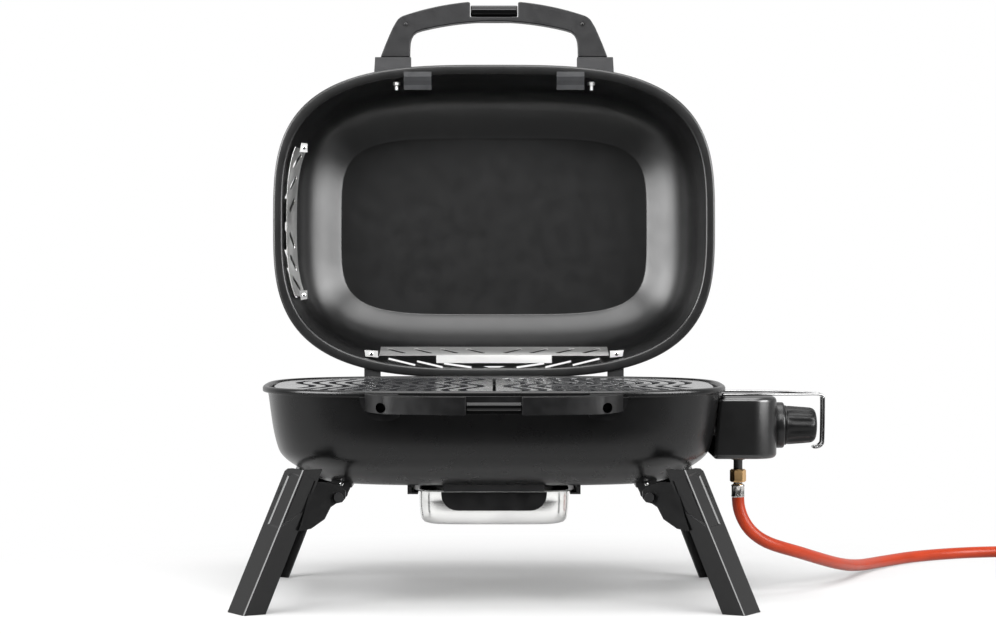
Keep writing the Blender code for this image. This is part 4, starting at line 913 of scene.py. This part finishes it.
def make_valve_parts():
    """Collar, ribbed knob, wire guard and its two feet, and what the valve box holds."""
    line = [(0.0002, 0.0075), (0.0000, 0.0270), (0.0006, 0.0275), (0.0088, 0.0275), (0.0100, 0.0272)]
    line += [(0.0108, 0.0266), (0.0112, 0.0257), (0.0112, 0.0248), (0.0108, 0.0244), (0.0080, 0.0241)]
    line += [(0.0062, 0.0238), (0.0062, 0.0075)]
    bezel = turned("knob_collar", (BOX_FACE_X + GAP, 0, KNOB_Z), (1, 0, 0), [*line, line[0]], 96)
    add(bezel, "black_plastic", "base", "black_plastic", ("knob_bezel",), angle=40)
    profile = [(0.0235, 0.0001), (0.0235, 0.0043), (0, 0.0043), (0, 0.0228), (0.0006, 0.0235)]
    profile += [(0.0020, 0.0238), (0.0032, 0.0237), (0.0036, 0.0230), (0.0044, 0.0229), (0.0060, 0.0231)]
    profile += [(0.0120, 0.0227), (0.0200, 0.0221), (0.0280, 0.0215), (0.0320, 0.0211), (0.0346, 0.0204)]
    profile += [(0.0365, 0.0193), (0.0380, 0.0175), (0.0390, 0.0150), (0.0397, 0.0118), (0.0402, 0.0080)]
    profile += [(0.0405, 0.0040), (0.0405, 0.0001)]
    first, last, flutes = 0.0042, 0.0385, 12

    def ripple(distance, angle):
        if distance < first or distance > last:
            return 1
        fade = min((distance - first) / 0.003, (last - distance) / 0.006, 1)
        return 1 - 0.055 * fade * (0.5 - 0.5 * math.cos(flutes * angle)) ** 1.6

    knob = turned("control_dial", (0.3475, 0, KNOB_Z), (1, 0, 0), profile, 192, ripple)
    add(knob, "knob_plastic", "knob", "black_plastic", ("control_knob",), angle=50)
    for node in ("valve_body", "valve_plug", "valve_stem", "gas_jet"):
        keep(node, "brass")
    keep("ignition_electrode", "ceramic")
    half = [(0.2700, 0.0450, 0.2436), (0.3000, 0.0420, 0.2437), (0.3350, 0.0340, 0.2437)]
    half += [(0.3650, 0.0230, 0.2432), (0.3880, 0.0150, 0.2428), (0.3940, 0.0130, 0.2405)]
    half += [(0.3950, 0.0125, 0.2350), (0.3945, 0.0125, 0.1900), (0.3930, 0.0125, 0.1825)]
    half += [(0.3890, 0.0120, 0.1795), (0.3840, 0.0090, 0.1788)]
    wire = [*half, *[(x, -y, z) for x, y, z in reversed(half)]]
    guard = tube("knob_guard_wire", spline(wire, 5), 0.0015, 6)
    add(guard, "wire", "base", "polished_steel", ("knob_guard",))
    for side, word in FRONT_REAR:
        line = [(0, 0.0030), (0.0012, 0.0030), (0.0016, 0.0024)]
        pad = turned("guard_foot_" + word, (0.2712, side * 0.0449, 0.2412), (0, 0, 1), line, 24)
        add(pad, "black_plastic", "base", "black_plastic")


def make_gas_fittings():
    """Inlet stub, brass union nut and crimped ferrule, one under the other."""
    down = (0, 0, -1)
    line = [(0, 0.0001), (0, 0.0050), (0.0210, 0.0050), (0.0210, 0.0082), (0.0214, 0.0085), (0.0244, 0.0085)]
    line += [(0.0248, 0.0082), (0.0248, 0.0062), (0.0262, 0.0054), (0.0438, 0.0054), (0.0438, 0.0001)]
    inlet = turned("gas_inlet_stub", (INLET_X, 0, 0.1885), down, line, 48)
    add(inlet, "black_steel", "base", "black_steel", ("gas_inlet_fitting",))
    nut_top, nut_corner = (INLET_X, 0, 0.1520), 0.0170 / math.sqrt(3)
    body = turned("nut_body", nut_top, down, [(0, nut_corner), (0.0155, nut_corner)], 6)
    cone = [(-0.0010, 0.0072), (0.0022, 0.0104), (0.0133, 0.0104), (0.0165, 0.0072)]
    body = boolean(body, [turned("chamfer", nut_top, down, cone, 64)], "INTERSECT")
    bore = turned("bore", (INLET_X, 0, 0.1560), down, [(0, 0.0059), (0.03, 0.0059)], 40)
    body = boolean(body, [bore])
    add(body, "brass", "base", "brass", ("gas_nut",), bevel=0.0003, angle=25, segments=2)
    crimp = [(0, 0.0001), (0, 0.0050), (0.0004, 0.0053), (0.0092, 0.0053), (0.0098, 0.0064), (0.0108, 0.0078)]
    crimp += [(0.0114, 0.0081), (0.0122, 0.0081), (0.0132, 0.0081), (0.0234, 0.0081), (0.0244, 0.0081)]
    crimp += [(0.0251, 0.0080), (0.0254, 0.0078), (0.0254, 0.0001)]

    def squeeze(distance, angle):
        if distance < 0.0130 or distance > 0.0236:
            return 1
        return 1 - 0.09 * (0.5 + 0.5 * math.cos(8 * angle)) ** 0.7

    ferrule = turned("crimp_ferrule", (INLET_X, 0, 0.1440), down, crimp, 96, squeeze)
    add(ferrule, "crimped", "base", "polished_steel", ("hose_ferrule",), angle=50)


def make_inside():
    """Grid support and burner, which stay as the CAD has them."""
    keep("grid_support_ring", "black_steel", 0.0006)
    keep("burner_tube", "steel")
    keep("burner_support", "steel", 0.0003)
    keep("heat_plate", "steel", 0.0003)


def make_rivets():
    for side, word in LEFT_RIGHT:
        for way, end in FRONT_REAR:
            spot = (side * 0.1780, way * 0.0961, 0.1420)
            screw(f"leg_bracket_rivet_{word}_{end}", spot, (0, way, 0), 0.0022, "base", cross=False)


make_bowl()
make_lid()
make_handles()
make_latch()
make_lid_fittings()
make_rear_baffle()
make_left_baffle()
make_baffle_clips()
for number, word in LEFT_RIGHT:
    make_grid(number, word)
for number, word in LEFT_RIGHT:
    make_leg_frame(number, word)
make_tray()
make_control_box()
make_valve_parts()
make_gas_fittings()
make_inside()
make_rivets()


# ---- studio
def backdrop():
    """White floor that turns into pure white away from the grill, so that no horizon shows."""
    side, near, back = 1.6, -0.56, 3.0  # short in front, because more of it would light the grill from below
    corners = [(-side, near, 0), (side, near, 0), (side, back, 0), (-side, back, 0)]
    floor = from_faces("floor", corners, [(0, 1, 2, 3)])
    paper = surface("paper", (0.36, 0.36, 0.36), 0.75, grain=60, bump=0.01, tone=0.004, specular=0.2)
    tree = paper.node_tree
    link = tree.links.new
    shader = tree.nodes["Principled BSDF"]
    shader.inputs["Emission Color"].default_value = (1, 1, 1, 1)
    shader.inputs["Emission Strength"].default_value = 0.10
    where = new_node(tree, "TexCoord")
    squeeze = new_node(tree, "Mapping", {"Scale": (0.85, 1.0, 1.0)})
    far = new_node(tree, "VectorMath")
    far.operation = "LENGTH"
    fade = new_node(tree, "MapRange", {"From Min": 0.32, "From Max": 0.70})
    fade.interpolation_type = "SMOOTHSTEP"
    glow = new_node(tree, "Emission")
    mix = new_node(tree, "MixShader")
    link(where.outputs["Object"], squeeze.inputs["Vector"])
    link(squeeze.outputs["Vector"], far.inputs[0])
    link(far.outputs["Value"], fade.inputs["Value"])
    link(fade.outputs["Result"], mix.inputs["Fac"])
    link(shader.outputs["BSDF"], mix.inputs[1])
    link(glow.outputs["Emission"], mix.inputs[2])
    link(mix.outputs["Shader"], tree.nodes["Material Output"].inputs["Surface"])
    floor.data.materials.append(paper)


def studio_world():
    """Pure white behind the object, and a dimmer light on it that grows towards the back."""
    world = bpy.data.worlds.new("studio")
    world.use_nodes = True
    tree = world.node_tree
    link = tree.links.new
    even = tree.nodes["Background"]
    even.inputs["Color"].default_value = (1, 1, 1, 1)
    way = new_node(tree, "TexCoord")
    parts = new_node(tree, "SeparateXYZ")
    ramp = new_node(tree, "MapRange", {"From Min": -0.15, "From Max": 0.55, "To Min": 0.06, "To Max": 0.75})
    white = new_node(tree, "Background", {"Color": (1, 1, 1, 1)})
    path = new_node(tree, "LightPath")
    mix = new_node(tree, "MixShader")
    link(way.outputs["Generated"], parts.inputs["Vector"])
    link(parts.outputs["Y"], ramp.inputs["Value"])
    link(ramp.outputs["Result"], even.inputs["Strength"])
    link(path.outputs["Is Camera Ray"], mix.inputs["Fac"])
    link(even.outputs["Background"], mix.inputs[1])
    link(white.outputs["Background"], mix.inputs[2])
    link(mix.outputs["Shader"], tree.nodes["World Output"].inputs["Surface"])
    bpy.context.scene.world = world


def softbox(name, spot, aim, size, power):
    lamp = bpy.data.lights.new(name, "AREA")
    lamp.shape = "RECTANGLE"
    lamp.size, lamp.size_y = size
    lamp.energy = power
    obj = new_object(name, lamp)
    obj.location = spot
    obj.rotation_euler = (Vector(aim) - Vector(spot)).to_track_quat("-Z", "Y").to_euler()


backdrop()
studio_world()
bpy.context.scene.view_settings.view_transform = "Standard"
softbox("top_light", (0, 0.3, 2.6), (0, 0.1, 0.2), (2.2, 1.6), 65)
softbox("front_light", (0, -2.1, 2.6), (0, 0, 0.4), (2.6, 1.3), 128)
softbox("left_light", (-2.4, -1.5, 1.2), (0, 0, 0.4), (2.0, 1.5), 172)
softbox("right_light", (2.4, -1.5, 1.2), (0, 0, 0.4), (2.0, 1.5), 160)
